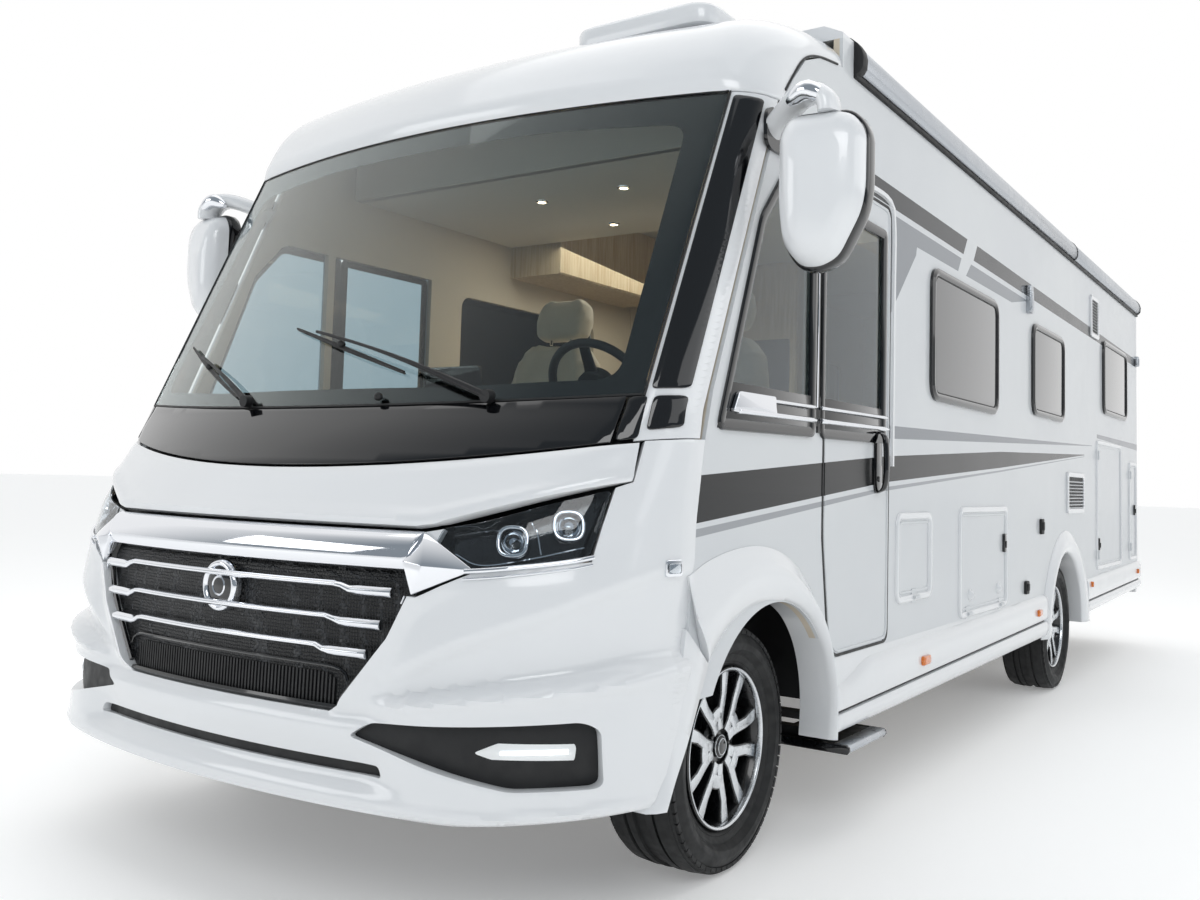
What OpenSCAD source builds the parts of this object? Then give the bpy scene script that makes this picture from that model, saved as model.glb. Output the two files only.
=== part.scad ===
// Integrated motorhome on a camping chassis: hollow sandwich body, moulded front,
// steered front wheels, hinged doors and lockers. Lengths in millimetres.
// +Z is up, +X is the vehicle's left, the front faces -Y. The origin is on the
// ground under the middle of the whole outline. Inside from_axle() the Y zero is
// the front axle.

/* [Body] */
// Front edge of the bumper to the front axle
front_overhang = 1110; // [1000:5:1350]
// Front axle to rear axle
wheelbase = 4035; // [3360:5:4850]
// Rear axle to the rear wall's outer face
rear_overhang = 2705; // [2250:5:3300]
// Width over the side walls
body_w = 2320; // [2200:10:2600]
// Top of the roof skin above the ground
roof_z = 2770; // [2700:10:3200]
// Thickness of the sandwich walls and doors
wall_t = 34; // [28:1:42]
// Thickness of the roof panel
roof_t = 55; // [40:1:70]
// Underside of the side walls above the ground
sill_z = 600; // [560:5:640]
// Top of the living floor above the ground
floor_z = 780; // [740:5:800]
// Gap round a closed door or flap
door_gap = 7; // [5.5:0.5:9]

/* [Wheels] */
// Rolling radius of a tyre
tyre_r = 369; // [330:1:372]
// Width of a tyre
tyre_w = 255; // [205:5:265]
// Radius of the rim's outer lip
rim_r = 243; // [215:1:250]
// Middle of a front wheel to the side wall's outer face
front_wheel_in = 255; // [240:5:270]
// Middle of a rear wheel to the side wall's outer face
rear_wheel_in = 170; // [160:5:180]
// Radius of the wheel openings in the side wall
arch_r = 450; // [440:1:470]
// Radius of the axle stub that carries a wheel
stub_r = 28; // [22:1:32]
// Radial running clearance in a hub
hub_clear = 0.06; // [0.03:0.01:0.09]

/* [Front] */
// Lower edge of the windscreen at its middle
screen_low_z = 1362; // [1330:1:1390]
// Upper edge of the windscreen
screen_top_z = 2344; // [2300:1:2370]
// Thickness of the windscreen
screen_t = 8; // [6:1:10]
// Thickness of the moulded front skins
skin_t = 26; // [20:1:32]
// Radius of the steering wheel
steer_r = 190; // [175:1:205]

/* [Hidden] */
$fn = 48;

body_l = front_overhang + wheelbase + rear_overhang;
front_axle_y = front_overhang - body_l / 2;
half_w = body_w / 2;
inner_w = half_w - wall_t;
y_end = wheelbase + rear_overhang;
deck_t = floor_z - sill_z;
front_x = half_w - front_wheel_in;
rear_x = half_w - rear_wheel_in;
seat_gap = 0.3;

// Heights up the front face, the face's Y at its middle and at its side edge,
// the share of its depth that is a parabola, and where its corner starts
face = [
    [ 300, -front_overhang, -560, 0.36, 0.62],
    [ 600, -1105, -540, 0.36, 0.62],
    [ 900, -1100, -520, 0.36, 0.62],
    [1050, -1045, -500, 0.40, 0.70],
    [screen_low_z, -820, -445, 0.58, 0.90],
    [screen_top_z, -330, -20, 0.58, 0.90]];
// Share of the half width where the windscreen ends
screen_a = 0.915;
// Share of the half width where the bonnet ends, and its thickness
bonnet_a = 0.93;
bonnet_t = 16;
bumper_t = 40;
// Side edge of the moulded cap, in Y and Z, and where the cap meets the roof
cap_end_y = 460;
cap_side = [[-20, screen_top_z + 0.3], [60, 2440], [150, 2530], [264, 2576], [cap_end_y, 2610]];
// Rear wall's outer face ahead of the bumper's
rear_inset = 40;
// Height of a hinge's axis off the wall, its pin and its barrel
hinge_off = 12;
pin_r = 4;
barrel_r = 8;
hinge_l = 60;
// Where the driver's door and its window stand
door_front_y = 275;
door_rear_y = 953;
door_top_z = 2220;
cab_glass = [[-395, 1320], [895, 1335], [895, 2120], [15, 2120], [-20, 2105], [-150, 1960]];
// Wheel opening and the locker flaps: low corner and high corner in Y and Z
service_box = [[1066, 756], [1441, 1051]];
locker_box = [[1878, 630], [2642, 1070]];
garage_box = [[wheelbase + 981, 681], [wheelbase + 1885, 1510]];
gas_box = [[wheelbase + 2285, 690], [y_end - 130, 1400]];
entry_box = [[2700, 640], [3320, 2500]];
window_boxes = [
    [[1444, 1551], [2440, 2075]],
    [[wheelbase - 852, 1601], [wheelbase - 104, 2075]],
    [[wheelbase + 1198, 1740], [wheelbase + 2108, 2225]]];
right_window_boxes = [
    [[1120, 1551], [2300, 2075]],
    [[wheelbase + 100, 1601], [wheelbase + 848, 2075]],
    [[wheelbase + 1198, 1740], [wheelbase + 2108, 2225]]];
// Roof lights: low corner and high corner in X and Y
front_light = [[100, 470], [600, 970]];
rear_light = [[-350, 3000], [350, 3500]];
light_rise = 60;

module from_axle() translate([0, front_axle_y, 0]) children();

// Turns an outline drawn in Y and Z into a plate t thick whose low X is x0
module plate_x(x0, t) translate([x0, 0, 0]) rotate([90, 0, 90]) linear_extrude(t) children();
// Turns an outline drawn in X and Z into a plate from y0 to y0 + t
module plate_y(y0, t) translate([0, y0 + t, 0]) rotate([90, 0, 0]) linear_extrude(t) children();
module box(low, high) translate(low) cube(high - low);
// Rectangle with rounded corners between two opposite corners
module round_rect(low, high, r) {
    translate([low[0] + r, low[1]]) square([high[0] - low[0] - 2 * r, high[1] - low[1]]);
    translate([low[0], low[1] + r]) square([high[0] - low[0], high[1] - low[1] - 2 * r]);
    for (x = [low[0] + r, high[0] - r], y = [low[1] + r, high[1] - r])
        translate([x, y]) circle(r);
}
module grown_rect(b, grow, r)
    round_rect(b[0] - [grow, grow], b[1] + [grow, grow], r + grow);
module mirrored() {
    children();
    mirror([1, 0, 0]) children();
}

// ---- The shape of the moulded front ----
function face_at(z, i) = lookup(z, [for (row = face) [row[0], row[i]]]);
function round_in(b) = 1 - sqrt(max(0, 1 - b * b));
function plan_share(a, part, start) =
    1 - part * a * a - (1 - part) * round_in(max(0, (abs(a) - start) / (1 - start)));
function face_y(a, z) = face_at(z, 2)
    + (face_at(z, 1) - face_at(z, 2)) * plan_share(a, face_at(z, 3), face_at(z, 4));
function face_share(a, z) = plan_share(a, face_at(z, 3), face_at(z, 4));
// A point of the face moved inwards, along X at its side edge and along Y at its middle
function face_point(a, z, inset) =
    [(half_w - inset) * a, face_y(a, z) + inset * face_share(a, z), z];

// Closed skin from an outer and an inner grid of points, both rows by columns
function strip(p, q, r, s) = [[p, q, r], [p, r, s]];
module closed_skin(outer, inner, rows, cols) {
    n = rows * cols;
    skin_faces = [for (i = [0 : rows - 2], j = [0 : cols - 2])
        let (a = i * cols + j)
        each concat(strip(a, a + cols, a + cols + 1, a + 1),
            strip(n + a, n + a + 1, n + a + cols + 1, n + a + cols))];
    side_faces = [for (i = [0 : rows - 2])
        let (a = i * cols, b = i * cols + cols - 1)
        each concat(strip(a, n + a, n + a + cols, a + cols),
            strip(b, b + cols, n + b + cols, n + b))];
    end_faces = [for (j = [0 : cols - 2])
        let (a = j, b = (rows - 1) * cols + j)
        each concat(strip(a, a + 1, n + a + 1, n + a),
            strip(b, n + b, n + b + 1, b + 1))];
    polyhedron(concat(outer, inner), concat(skin_faces, side_faces, end_faces), convexity = 8);
}
// Skin of the front through rows of heights, one height for each width share in across
module face_rows(across, rows, inset, t) {
    grid = function(d) [for (row = rows, j = [0 : len(across) - 1])
        face_point(across[j], row[j], d)];
    closed_skin(grid(inset), grid(inset + t), len(rows), len(across));
}
// Evenly spaced rows of heights between a lower and an upper edge
function rows_between(lows, highs, rows) = [for (i = [0 : rows - 1])
    [for (j = [0 : len(lows) - 1]) lows[j] + (highs[j] - lows[j]) * i / (rows - 1)]];
module face_skin(across, lows, highs, rows, inset, t)
    face_rows(across, rows_between(lows, highs, rows), inset, t);
// The same width shares with both ends moved out
function widened(across, grow) = [for (i = [0 : len(across) - 1])
    across[i] + (i == 0 ? -grow : i == len(across) - 1 ? grow : 0)];
function spread(a0, a1, steps) = [for (i = [0 : steps]) a0 + (a1 - a0) * i / steps];
full_width = [for (i = [-14 : 14]) sin(90 * i / 14)];
screen_low = function(a) screen_low_z + 39 * a * a;
bonnet_top = function(a) 1187 + 100 * a * a;
bumper_side_low = 345;
bumper_rows = 14;
pillar_rows = 9;
bonnet_low = function(a) 1033 + 130 * max(0, abs(a) - 0.56) / 0.37;

// ---- Front ----
module front_cap() color("white") from_axle() {
    rows = 9;
    side_at = function(t, i) lookup(t * 4, [for (k = [0 : 4]) [k, cap_side[k][i]]]);
    crown_y = function(t) cap_end_y + (face_at(screen_top_z, 1) - cap_end_y) * cos(90 * t);
    crown_z = function(t) cap_side[0][1] + (roof_z - cap_side[0][1]) * sin(90 * t);
    grid = function(d) [for (i = [0 : rows - 1], a = full_width)
        let (t = i / (rows - 1), w = plan_share(a, 0.5 * (1 - t) + 0.08, 0.9 - 0.15 * t))
        [(half_w - d) * a,
            side_at(t, 0) + (crown_y(t) - side_at(t, 0)) * w + d * w * (1 - t),
            side_at(t, 1) + (crown_z(t) - side_at(t, 1)) * w - d * w * t]];
    closed_skin(grid(0), grid(skin_t), rows, len(full_width));
}
screen_across = spread(-screen_a, screen_a, 24);
screen_rows = rows_between([for (a = screen_across) screen_low(a)],
    [for (a = screen_across) screen_top_z], 8);
module windscreen() color([0.2, 0.25, 0.3, 0.6]) from_axle()
    face_rows(screen_across, screen_rows, 0, screen_t);
// Bonded frame that carries the windscreen: gloss pillars at the sides and the panel below
module black_panels() color("black") from_axle() difference() {
    union() {
        mirrored() {
            across = spread(screen_a - 0.035, 1, 8);
            face_skin(across, [for (a = across) bonnet_top(a)],
                [for (a = across) screen_top_z], pillar_rows, 0, skin_t);
        }
        across = spread(-screen_a + 0.036, screen_a - 0.036, 22);
        face_skin(across, [for (a = across) bonnet_top(a)],
            [for (a = across) screen_low(a) + 30], 4, 0, skin_t);
    }
    face_rows(widened(screen_across, 0.003), concat([screen_rows[0] - [for (a = screen_across) 3]],
        screen_rows, [screen_rows[7] + [for (a = screen_across) 20]]), -30, 30 + screen_t + 0.6);
}
bonnet_across = spread(-bonnet_a, bonnet_a, 24);
bonnet_rows = rows_between([for (a = bonnet_across) bonnet_low(a)],
    [for (a = bonnet_across) bonnet_top(a) - door_gap], 4);
module bonnet() color("white") from_axle() face_rows(bonnet_across, bonnet_rows, 0, bonnet_t);
// Openings in the bumper, drawn in X and Z
grille_outline = [[-690, 885], [-640, 925], [640, 925], [690, 885], [600, 760], [455, 580],
    [425, 562], [-425, 562], [-455, 580], [-600, 760]];
surround_outline = [[-812, 936], [-640, 1032], [640, 1032], [812, 936], [700, 880], [-700, 880]];
headlamp_outline = [[692, 1006], [704, 1030], [800, 1054], [900, 1086], [1053, 1135],
    [1049, 1045], [1040, 982], [940, 952], [817, 936]];
fog_outline = [[500, 512], [560, 552], [1040, 588], [1066, 570], [1076, 430], [917, 425],
    [640, 500]];
slot_outline = [[-606, 412], [606, 412], [586, 440], [-586, 440]];
module through_front() plate_y(-front_overhang - 190, 1000) children();
module bonnet_opening(low_grow, side_a) polygon(concat(
    [for (i = [-12 : 12]) let (a = side_a * i / 12) [half_w * a, bonnet_low(a) - low_grow]],
    [[half_w * side_a, 1400], [-half_w * side_a, 1400]]));
module front_bumper() color("white") from_axle() difference() {
    face_skin(full_width, [for (a = full_width) bumper_side_low - 60 * (1 - a * a)],
        [for (a = full_width) bonnet_top(a) - 2], bumper_rows, 0, bumper_t);
    through_front() {
        polygon(grille_outline);
        polygon(surround_outline);
        polygon(slot_outline);
        mirrored() {
            polygon(headlamp_outline);
            polygon(fog_outline);
        }
        bonnet_opening(-30, bonnet_a - 0.02);
    }
    face_rows(widened(bonnet_across, 0.008),
        concat([bonnet_rows[0] - [for (a = bonnet_across) door_gap]], bonnet_rows,
            [bonnet_rows[3] + [for (a = bonnet_across) 40]]), -30, 30 + bonnet_t + seat_gap);
}
module grille() color("dimgray") from_axle() {
    intersection() {
        face_skin(full_width, [for (a = full_width) 500], [for (a = full_width) 1040], 8, skin_t, 20);
        through_front() {
            polygon(grille_outline);
            polygon(surround_outline);
        }
    }
    for (bar = [[885, 600], [800, 572], [725, 535]])
        intersection() {
            face_skin(full_width, [for (a = full_width) 500], [for (a = full_width) 1040], 8,
                6, skin_t - 5);
            through_front() polygon([[-bar[1], bar[0] - 9], [bar[1], bar[0] - 9],
                [bar[1], bar[0] + 9], [-bar[1], bar[0] + 9]]);
        }
    translate([0, 10 - front_overhang, 850]) rotate([90, 0, 0])
        cylinder(h = 20, r = 72, center = true);
}
module lamps() color("lightgray") from_axle() mirrored() {
    box([half_w - 170, y_end - rear_inset, 900], [half_w - 40, y_end - 8, 1500]);
    intersection() {
        face_skin(spread(0.5, 1, 12), [for (i = [0 : 12]) 900], [for (i = [0 : 12]) 1170], 4, 3, 60);
        through_front() polygon(headlamp_outline);
    }
    intersection() {
        face_skin(spread(0.4, 1, 12), [for (i = [0 : 12]) 400], [for (i = [0 : 12]) 600], 3, 12, 30);
        through_front() polygon(fog_outline);
    }
}
// How far a wiper's spindle reaches back towards the panel that it comes out of
pivot_reach = 21.4;
module wipers() color("black") from_axle()
    for (pivot_a = [0.52, -0.24]) {
        base = face_point(pivot_a, screen_low(pivot_a) - 30, -30);
        tip = face_point(pivot_a - 0.5, screen_low(pivot_a) + 230, -30);
        translate(base) rotate([-90, 0, 0]) cylinder(h = pivot_reach, r = 11);
        hull() {
            translate(base) sphere(13, $fn = 16);
            translate(tip) sphere(8, $fn = 16);
        }
    }

// ---- Body ----
wall_outline = concat(
    [for (z = concat([sill_z], [for (z = spread(bumper_side_low, bonnet_top(1) - 2, bumper_rows - 1))
        if (z > sill_z + 5) z], spread(bonnet_top(1), screen_top_z, pillar_rows - 1)))
        [face_at(z, 2) + 0.5, z]],
    [for (i = [1 : 4]) cap_side[i] + [0.3, -0.3]],
    [[cap_end_y + 0.3, roof_z - roof_t], [y_end - rear_inset, roof_z - roof_t],
        [y_end - rear_inset, sill_z]]);
module wheel_opening(y) translate([y, tyre_r]) circle(arch_r, $fn = 64);
module door_outline(grow) polygon([[door_front_y - grow, 1860], [door_front_y - grow, door_top_z - 30],
    [door_front_y + 30 - grow, door_top_z + grow], [door_rear_y + grow - 30, door_top_z + grow],
    [door_rear_y + grow, door_top_z - 30], [door_rear_y + grow, sill_z + 60],
    [door_rear_y + grow - 50, sill_z + 10 - grow], [door_front_y + 175 - grow, sill_z + 10 - grow],
    [door_front_y + 120 - grow, sill_z + 70], [door_front_y + 65 - grow, 1000],
    [door_front_y + 65 - grow, 1350]]);
// Part of the cab's side glass from a distance y, w long
module cab_window(y, w) intersection() {
    polygon(cab_glass);
    translate([y, 1000]) square([w, 1500]);
}
module side_wall(windows, flaps)
    plate_x(inner_w, wall_t) difference() {
        polygon(wall_outline);
        wheel_opening(0);
        wheel_opening(wheelbase);
        intersection() {
            polygon(cab_glass);
            translate([-500, 1000]) square([door_front_y + 500 - 40, 1500]);
        }
        for (b = windows) grown_rect(b, 0, 60);
        for (b = flaps) grown_rect(b, door_gap, 30);
    }
// Hinge along local Z: the body side lies towards -Y, the door side towards +Y, and the
// panels' outer faces are hinge_off below the axis
module hinge_body() {
    for (z = [0, hinge_l - 15]) translate([0, 0, z]) {
        cylinder(h = 15, r = barrel_r);
        box([-hinge_off, -barrel_r, 0], [0, 0, 15]);
    }
    cylinder(h = hinge_l, r = pin_r);
    box([-hinge_off, -20, 0], [4 - hinge_off, -barrel_r + 1, hinge_l]);
}
module hinge_door() difference() {
    union() {
        translate([0, 0, 15 + seat_gap]) {
            cylinder(h = hinge_l - 30 - 2 * seat_gap, r = barrel_r);
            box([-hinge_off, 0, 0], [0, barrel_r, hinge_l - 30 - 2 * seat_gap]);
        }
        box([-hinge_off, barrel_r + 2, 0], [4 - hinge_off, 32, hinge_l]);
        box([-hinge_off, barrel_r - 1, 15 + seat_gap], [4 - hinge_off, 12, hinge_l - 15 - seat_gap]);
    }
    translate([0, 0, -1]) cylinder(h = hinge_l + 2, r = pin_r + hub_clear);
}
// Places hinges for a door hinged at its front edge y, at the given heights
module front_hinges(y, heights)
    for (z = heights) translate([half_w + hinge_off, y - door_gap - 2, z]) children();
// Places hinges for a flap hinged along its bottom edge z, at the given distances
module bottom_hinges(z, places)
    for (y = places) translate([half_w + hinge_off, y, z - door_gap - 2]) rotate([90, 0, 0])
        children();
door_hinges = [1880, 2090];
entry_hinges = [720, 1540, 2380];
garage_hinges = [730, 1400];
gas_hinges = [740, 1290];
locker_hinges = [locker_box[0][0] + 140, locker_box[1][0] - 80];
service_hinges = [(service_box[0][0] + service_box[1][0] + hinge_l) / 2];
module left_wall() color("whitesmoke") from_axle() {
    difference() {
        side_wall(window_boxes, [service_box, locker_box, garage_box, gas_box]);
        plate_x(inner_w - 1, wall_t + 2) door_outline(door_gap);
    }
    front_hinges(door_front_y, door_hinges) hinge_body();
    front_hinges(garage_box[0][0], garage_hinges) hinge_body();
    front_hinges(gas_box[0][0], gas_hinges) hinge_body();
    bottom_hinges(locker_box[0][1], locker_hinges) hinge_body();
    bottom_hinges(service_box[0][1], service_hinges) hinge_body();
}
module right_wall() color("whitesmoke") from_axle() mirror([1, 0, 0]) {
    difference() {
        side_wall(right_window_boxes, [entry_box, garage_box]);
        plate_x(inner_w - 1, wall_t + 2) cab_window(door_front_y, 700);
    }
    front_hinges(entry_box[0][0], entry_hinges) hinge_body();
    front_hinges(garage_box[0][0], garage_hinges) hinge_body();
}
module rear_wall() color("whitesmoke") from_axle()
    box([-inner_w, y_end - rear_inset - wall_t, sill_z],
        [inner_w, y_end - rear_inset, roof_z - roof_t]);
module roof_light_hole(b) box([b[0][0] + 30, b[0][1] + 30, roof_z - roof_t - 1],
    [b[1][0] - 30, b[1][1] - 30, roof_z + light_rise + 1]);
module roof() color("white") from_axle() difference() {
    union() {
        plate_y(cap_end_y + seat_gap, y_end - rear_inset - cap_end_y - seat_gap)
            polygon([[-half_w, roof_z - roof_t], [half_w, roof_z - roof_t],
                [half_w, roof_z - 35], [half_w - 70, roof_z], [70 - half_w, roof_z],
                [-half_w, roof_z - 35]]);
        for (b = [front_light, rear_light])
            box([b[0][0] + 10, b[0][1] + 10, roof_z - 1],
                [b[1][0] - 10, b[1][1] - 10, roof_z + light_rise]);
    }
    for (b = [front_light, rear_light]) roof_light_hole(b);
}
module roof_light(b) color([0.85, 0.88, 0.9]) from_axle()
    translate([0, 0, roof_z + light_rise + seat_gap]) {
        linear_extrude(24) round_rect(b[0], b[1], 50);
        linear_extrude(56) round_rect(b[0] + [45, 45], b[1] - [45, 45], 40);
    }
module front_roof_hatch() roof_light(front_light);
module rear_roof_hatch() roof_light(rear_light);
module roof_rails() color("silver") from_axle() mirrored()
    plate_y(560, y_end - rear_inset - 560) polygon([[half_w, 2611], [half_w + 22, 2625],
        [half_w + 22, 2690], [half_w, roof_z - 40]]);
module flap(b) plate_x(inner_w, wall_t) grown_rect(b, 0, 24);
module service_flap() color("whitesmoke") from_axle() {
    flap(service_box);
    bottom_hinges(service_box[0][1], service_hinges) hinge_door();
}
module locker_door() color("whitesmoke") from_axle() {
    flap(locker_box);
    bottom_hinges(locker_box[0][1], locker_hinges) hinge_door();
}
module garage_door() {
    flap(garage_box);
    front_hinges(garage_box[0][0], garage_hinges) hinge_door();
}
module left_garage_door() color("whitesmoke") from_axle() garage_door();
module right_garage_door() color("whitesmoke") from_axle() mirror([1, 0, 0]) garage_door();
module gas_locker_door() color("whitesmoke") from_axle() {
    flap(gas_box);
    front_hinges(gas_box[0][0], gas_hinges) hinge_door();
}
module door_glass() cab_window(door_front_y + 75, door_rear_y - door_front_y - 130);
module driver_door() color("whitesmoke") from_axle() {
    difference() {
        plate_x(inner_w, wall_t) door_outline(0);
        plate_x(inner_w - 1, wall_t + 2) door_glass();
    }
    front_hinges(door_front_y, door_hinges) hinge_door();
}
module driver_window() color([0.2, 0.25, 0.3]) from_axle() plate_x(half_w - 18, 6) door_glass();
module habitation_door() color("whitesmoke") from_axle() mirror([1, 0, 0]) {
    flap(entry_box);
    front_hinges(entry_box[0][0], entry_hinges) hinge_door();
}
module side_windows() color([0.15, 0.17, 0.2]) from_axle() {
    for (b = window_boxes) plate_x(half_w - 22, 22) grown_rect(b, 0, 60);
    mirror([1, 0, 0]) for (b = right_window_boxes) plate_x(half_w - 22, 22) grown_rect(b, 0, 60);
    mirrored() plate_x(half_w - 18, 6) cab_window(-500, door_front_y + 460);
    mirror([1, 0, 0]) plate_x(half_w - 18, 6) cab_window(door_front_y, 700);
}
module side_skirts() color("whitesmoke") from_axle() mirrored() {
    plate_x(half_w - 24, 34) difference() {
        polygon([[400, 350], [wheelbase - arch_r, 372], [wheelbase - arch_r, sill_z], [380, sill_z]]);
        wheel_opening(0);
        wheel_opening(wheelbase);
    }
    plate_x(half_w - 24, 34) difference() {
        polygon([[wheelbase + 400, 400], [y_end - rear_inset - wall_t, 430], [y_end - rear_inset - wall_t, sill_z],
            [wheelbase + 400, sill_z]]);
        wheel_opening(wheelbase);
    }
}
module mirrors() color("white") from_axle() mirrored() {
    translate([half_w + 90, -270, 1800]) linear_extrude(450) round_rect([0, 0], [250, 140], 60);
    translate([0, 0, 2240]) linear_extrude(50) polygon([[half_w, -30], [half_w, 40],
        [half_w + 150, -80], [half_w + 280, -150], [half_w + 260, -230], [half_w + 120, -200]]);
}
module rear_bumper() color("white") from_axle() {
    box([-half_w + 10, y_end - rear_inset - wall_t, 400], [half_w - 10, y_end, sill_z]);
}

// ---- Underbody ----
rail_x = 430;
rail_w = 60;
rail_z = 440;
// Clamping pads under the rear ends of the rails
pad_y = [y_end - 540, y_end - 280];
pad_t = 10;
// Treads: their ends along the body, their undersides and their thickness
step_t = 30;
driver_step_y = [500, 860];
driver_step_z = 282;
entry_step_y = [entry_box[0][0] + 50, entry_box[1][0] - 50];
entry_step_z = 330;
// Slide rails of a step: between two distances along the body, above a tread's top z
module step_rails(y0, y1, z) for (y = [y0 + 40, y1 - 80]) {
    box([rail_x, y, z + seat_gap], [half_w - 70, y + 40, z + 30]);
    box([rail_x, y, z + 1], [rail_x + 25, y + 40, rail_z + 1]);
}
module chassis_frame() color("dimgray") from_axle() {
    mirrored() {
        box([rail_x - rail_w / 2, -620, rail_z], [rail_x + rail_w / 2, y_end - 260, sill_z - 10]);
        box([rail_x - rail_w / 2, pad_y[0], rail_z - pad_t], [rail_x + rail_w / 2, pad_y[1], rail_z + 1]);
    }
    for (y = [640, 1500, 2400, 3300, wheelbase + 640, wheelbase + 1500, y_end - 330])
        box([-rail_x, y, 460], [rail_x, y + 70, 560]);
    step_rails(driver_step_y[0], driver_step_y[1], driver_step_z + step_t);
    mirror([1, 0, 0]) step_rails(entry_step_y[0], entry_step_y[1], entry_step_z + step_t);
}
module floor() color("tan") from_axle() difference() {
    box([-inner_w, -330, sill_z - 10], [inner_w, y_end - rear_inset - wall_t, floor_z]);
    mirrored() {
        box([530, -480, 0], [half_w, 480, floor_z + 1]);
        box([770, wheelbase - 460, 0], [half_w, wheelbase + 460, floor_z + 1]);
    }
    box([900, 480 - 1, sill_z + 10], [half_w, door_rear_y, floor_z + 1]);
    box([inner_w - 500, locker_box[0][0], sill_z + 20], [half_w, locker_box[1][0], floor_z + 1]);
    box([-half_w, entry_box[0][0], sill_z + 20], [-inner_w + 300, entry_box[1][0], floor_z + 1]);
}
module wheel_houses() color("black") from_axle() mirrored() {
    difference() {
        box([530, -480, 450], [inner_w, 480, 860]);
        box([542, -468, 449], [half_w, 468, 848]);
    }
    difference() {
        box([770, wheelbase - 460, 450], [inner_w, wheelbase + 460, 860]);
        box([782, wheelbase - 448, 449], [half_w, wheelbase + 448, 848]);
    }
}
module engine() color("gray") from_axle()
    box([rail_w / 2 - rail_x, -780, 470], [rail_x - rail_w / 2, -350, 935]);
kingpin_x = front_x - 60;
module front_axle() color("dimgray") from_axle() difference() {
    union() {
        box([-430, -60, 300], [430, 60, 400]);
        mirrored() {
            box([380, -40, 300], [kingpin_x - 45, 40, 340]);
            box([rail_x - 25, -60, 380], [rail_x + 25, 60, 440]);
            translate([kingpin_x, 0, 300]) cylinder(h = 30, r = 50);
            box([kingpin_x - 60, -30, 300], [kingpin_x, 30, 330]);
        }
    }
    mirrored() translate([kingpin_x, 0, 290]) cylinder(h = 60, r = 18 + hub_clear);
}
module knuckle() {
    translate([kingpin_x, 0, 302]) cylinder(h = 98, r = 18);
    translate([kingpin_x, 0, 335]) cylinder(h = 70, r = 38);
    translate([kingpin_x, 0, tyre_r]) rotate([0, 90, 0])
        cylinder(h = front_x - kingpin_x + 40, r = stub_r);
}
module left_knuckle() color("gray") from_axle() knuckle();
module right_knuckle() color("gray") from_axle() mirror([1, 0, 0]) knuckle();
module rear_axle() color("dimgray") from_axle() translate([0, wheelbase, 0]) {
    translate([0, 0, tyre_r]) rotate([0, 90, 0]) {
        cylinder(h = 2 * (rear_x - 110), r = 50, center = true);
        cylinder(h = 2 * (rear_x + 40), r = stub_r, center = true);
    }
    mirrored() box([rail_x - 25, -60, tyre_r], [rail_x + 25, 60, 440]);
}

// ---- Wheels ----
module wheel_at(side, x, y) from_axle() translate([side * x, y, tyre_r])
    rotate([0, side * 90, 0]) children();
module rim() color("silver") {
    rotate_extrude($fn = 96) polygon([[rim_r - 30, -105], [rim_r, -105], [rim_r, 105],
        [rim_r - 16, 105], [rim_r - 26, -80]]);
    difference() {
        union() {
            translate([0, 0, 20]) cylinder(h = 60, r = 78);
            for (k = [0 : 9]) rotate([0, 0, 36 * k])
                translate([0, -14, 44]) cube([rim_r - 12, 28, 32]);
        }
        translate([0, 0, -10]) cylinder(h = 70, r = stub_r + hub_clear);
    }
}
module tyre() color([0.1, 0.1, 0.1]) rotate_extrude($fn = 96)
    polygon([[rim_r, -tyre_w / 2 + 18], [rim_r + 50, -tyre_w / 2], [tyre_r - 34, -tyre_w / 2],
        [tyre_r - 8, -tyre_w / 2 + 22], [tyre_r, -tyre_w / 2 + 50], [tyre_r, tyre_w / 2 - 50],
        [tyre_r - 8, tyre_w / 2 - 22], [tyre_r - 34, tyre_w / 2], [rim_r + 50, tyre_w / 2],
        [rim_r, tyre_w / 2 - 18]]);
module front_left_rim() wheel_at(1, front_x, 0) rim();
module front_right_rim() wheel_at(-1, front_x, 0) rim();
module rear_left_rim() wheel_at(1, rear_x, wheelbase) rim();
module rear_right_rim() wheel_at(-1, rear_x, wheelbase) rim();
module front_left_tyre() wheel_at(1, front_x, 0) tyre();
module front_right_tyre() wheel_at(-1, front_x, 0) tyre();
module rear_left_tyre() wheel_at(1, rear_x, wheelbase) tyre();
module rear_right_tyre() wheel_at(-1, rear_x, wheelbase) tyre();

// ---- Inside ----
seat_x = 410;
module seats() color("beige") from_axle() for (x = [seat_x, -seat_x]) translate([x, 662, floor_z]) {
    box([-160, -180, 0], [160, 200, 301]);
    translate([0, 0, 300]) linear_extrude(130) round_rect([-255, -260], [255, 260], 60);
    translate([0, 215, 380]) rotate([-12, 0, 0]) {
        translate([0, 60, 0]) rotate([90, 0, 0]) linear_extrude(120) round_rect([-250, 0], [250, 620], 80);
        translate([0, 45, 600]) rotate([90, 0, 0]) linear_extrude(90) round_rect([-140, 0], [140, 210], 50);
    }
}
steer_lean = 55;
steer_pos = [seat_x, 130, 1480];
module on_column() translate(steer_pos) rotate([-steer_lean, 0, 0]) children();
module steering_wheel() color("black") from_axle() on_column() {
    rotate_extrude($fn = 64) translate([steer_r - 16, 0]) circle(16);
    cylinder(h = 40, r = 60, center = true);
    for (k = [0 : 2]) rotate([0, 0, 120 * k - 90]) box([0, -18, -9], [steer_r - 12, 18, 9]);
}
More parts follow.
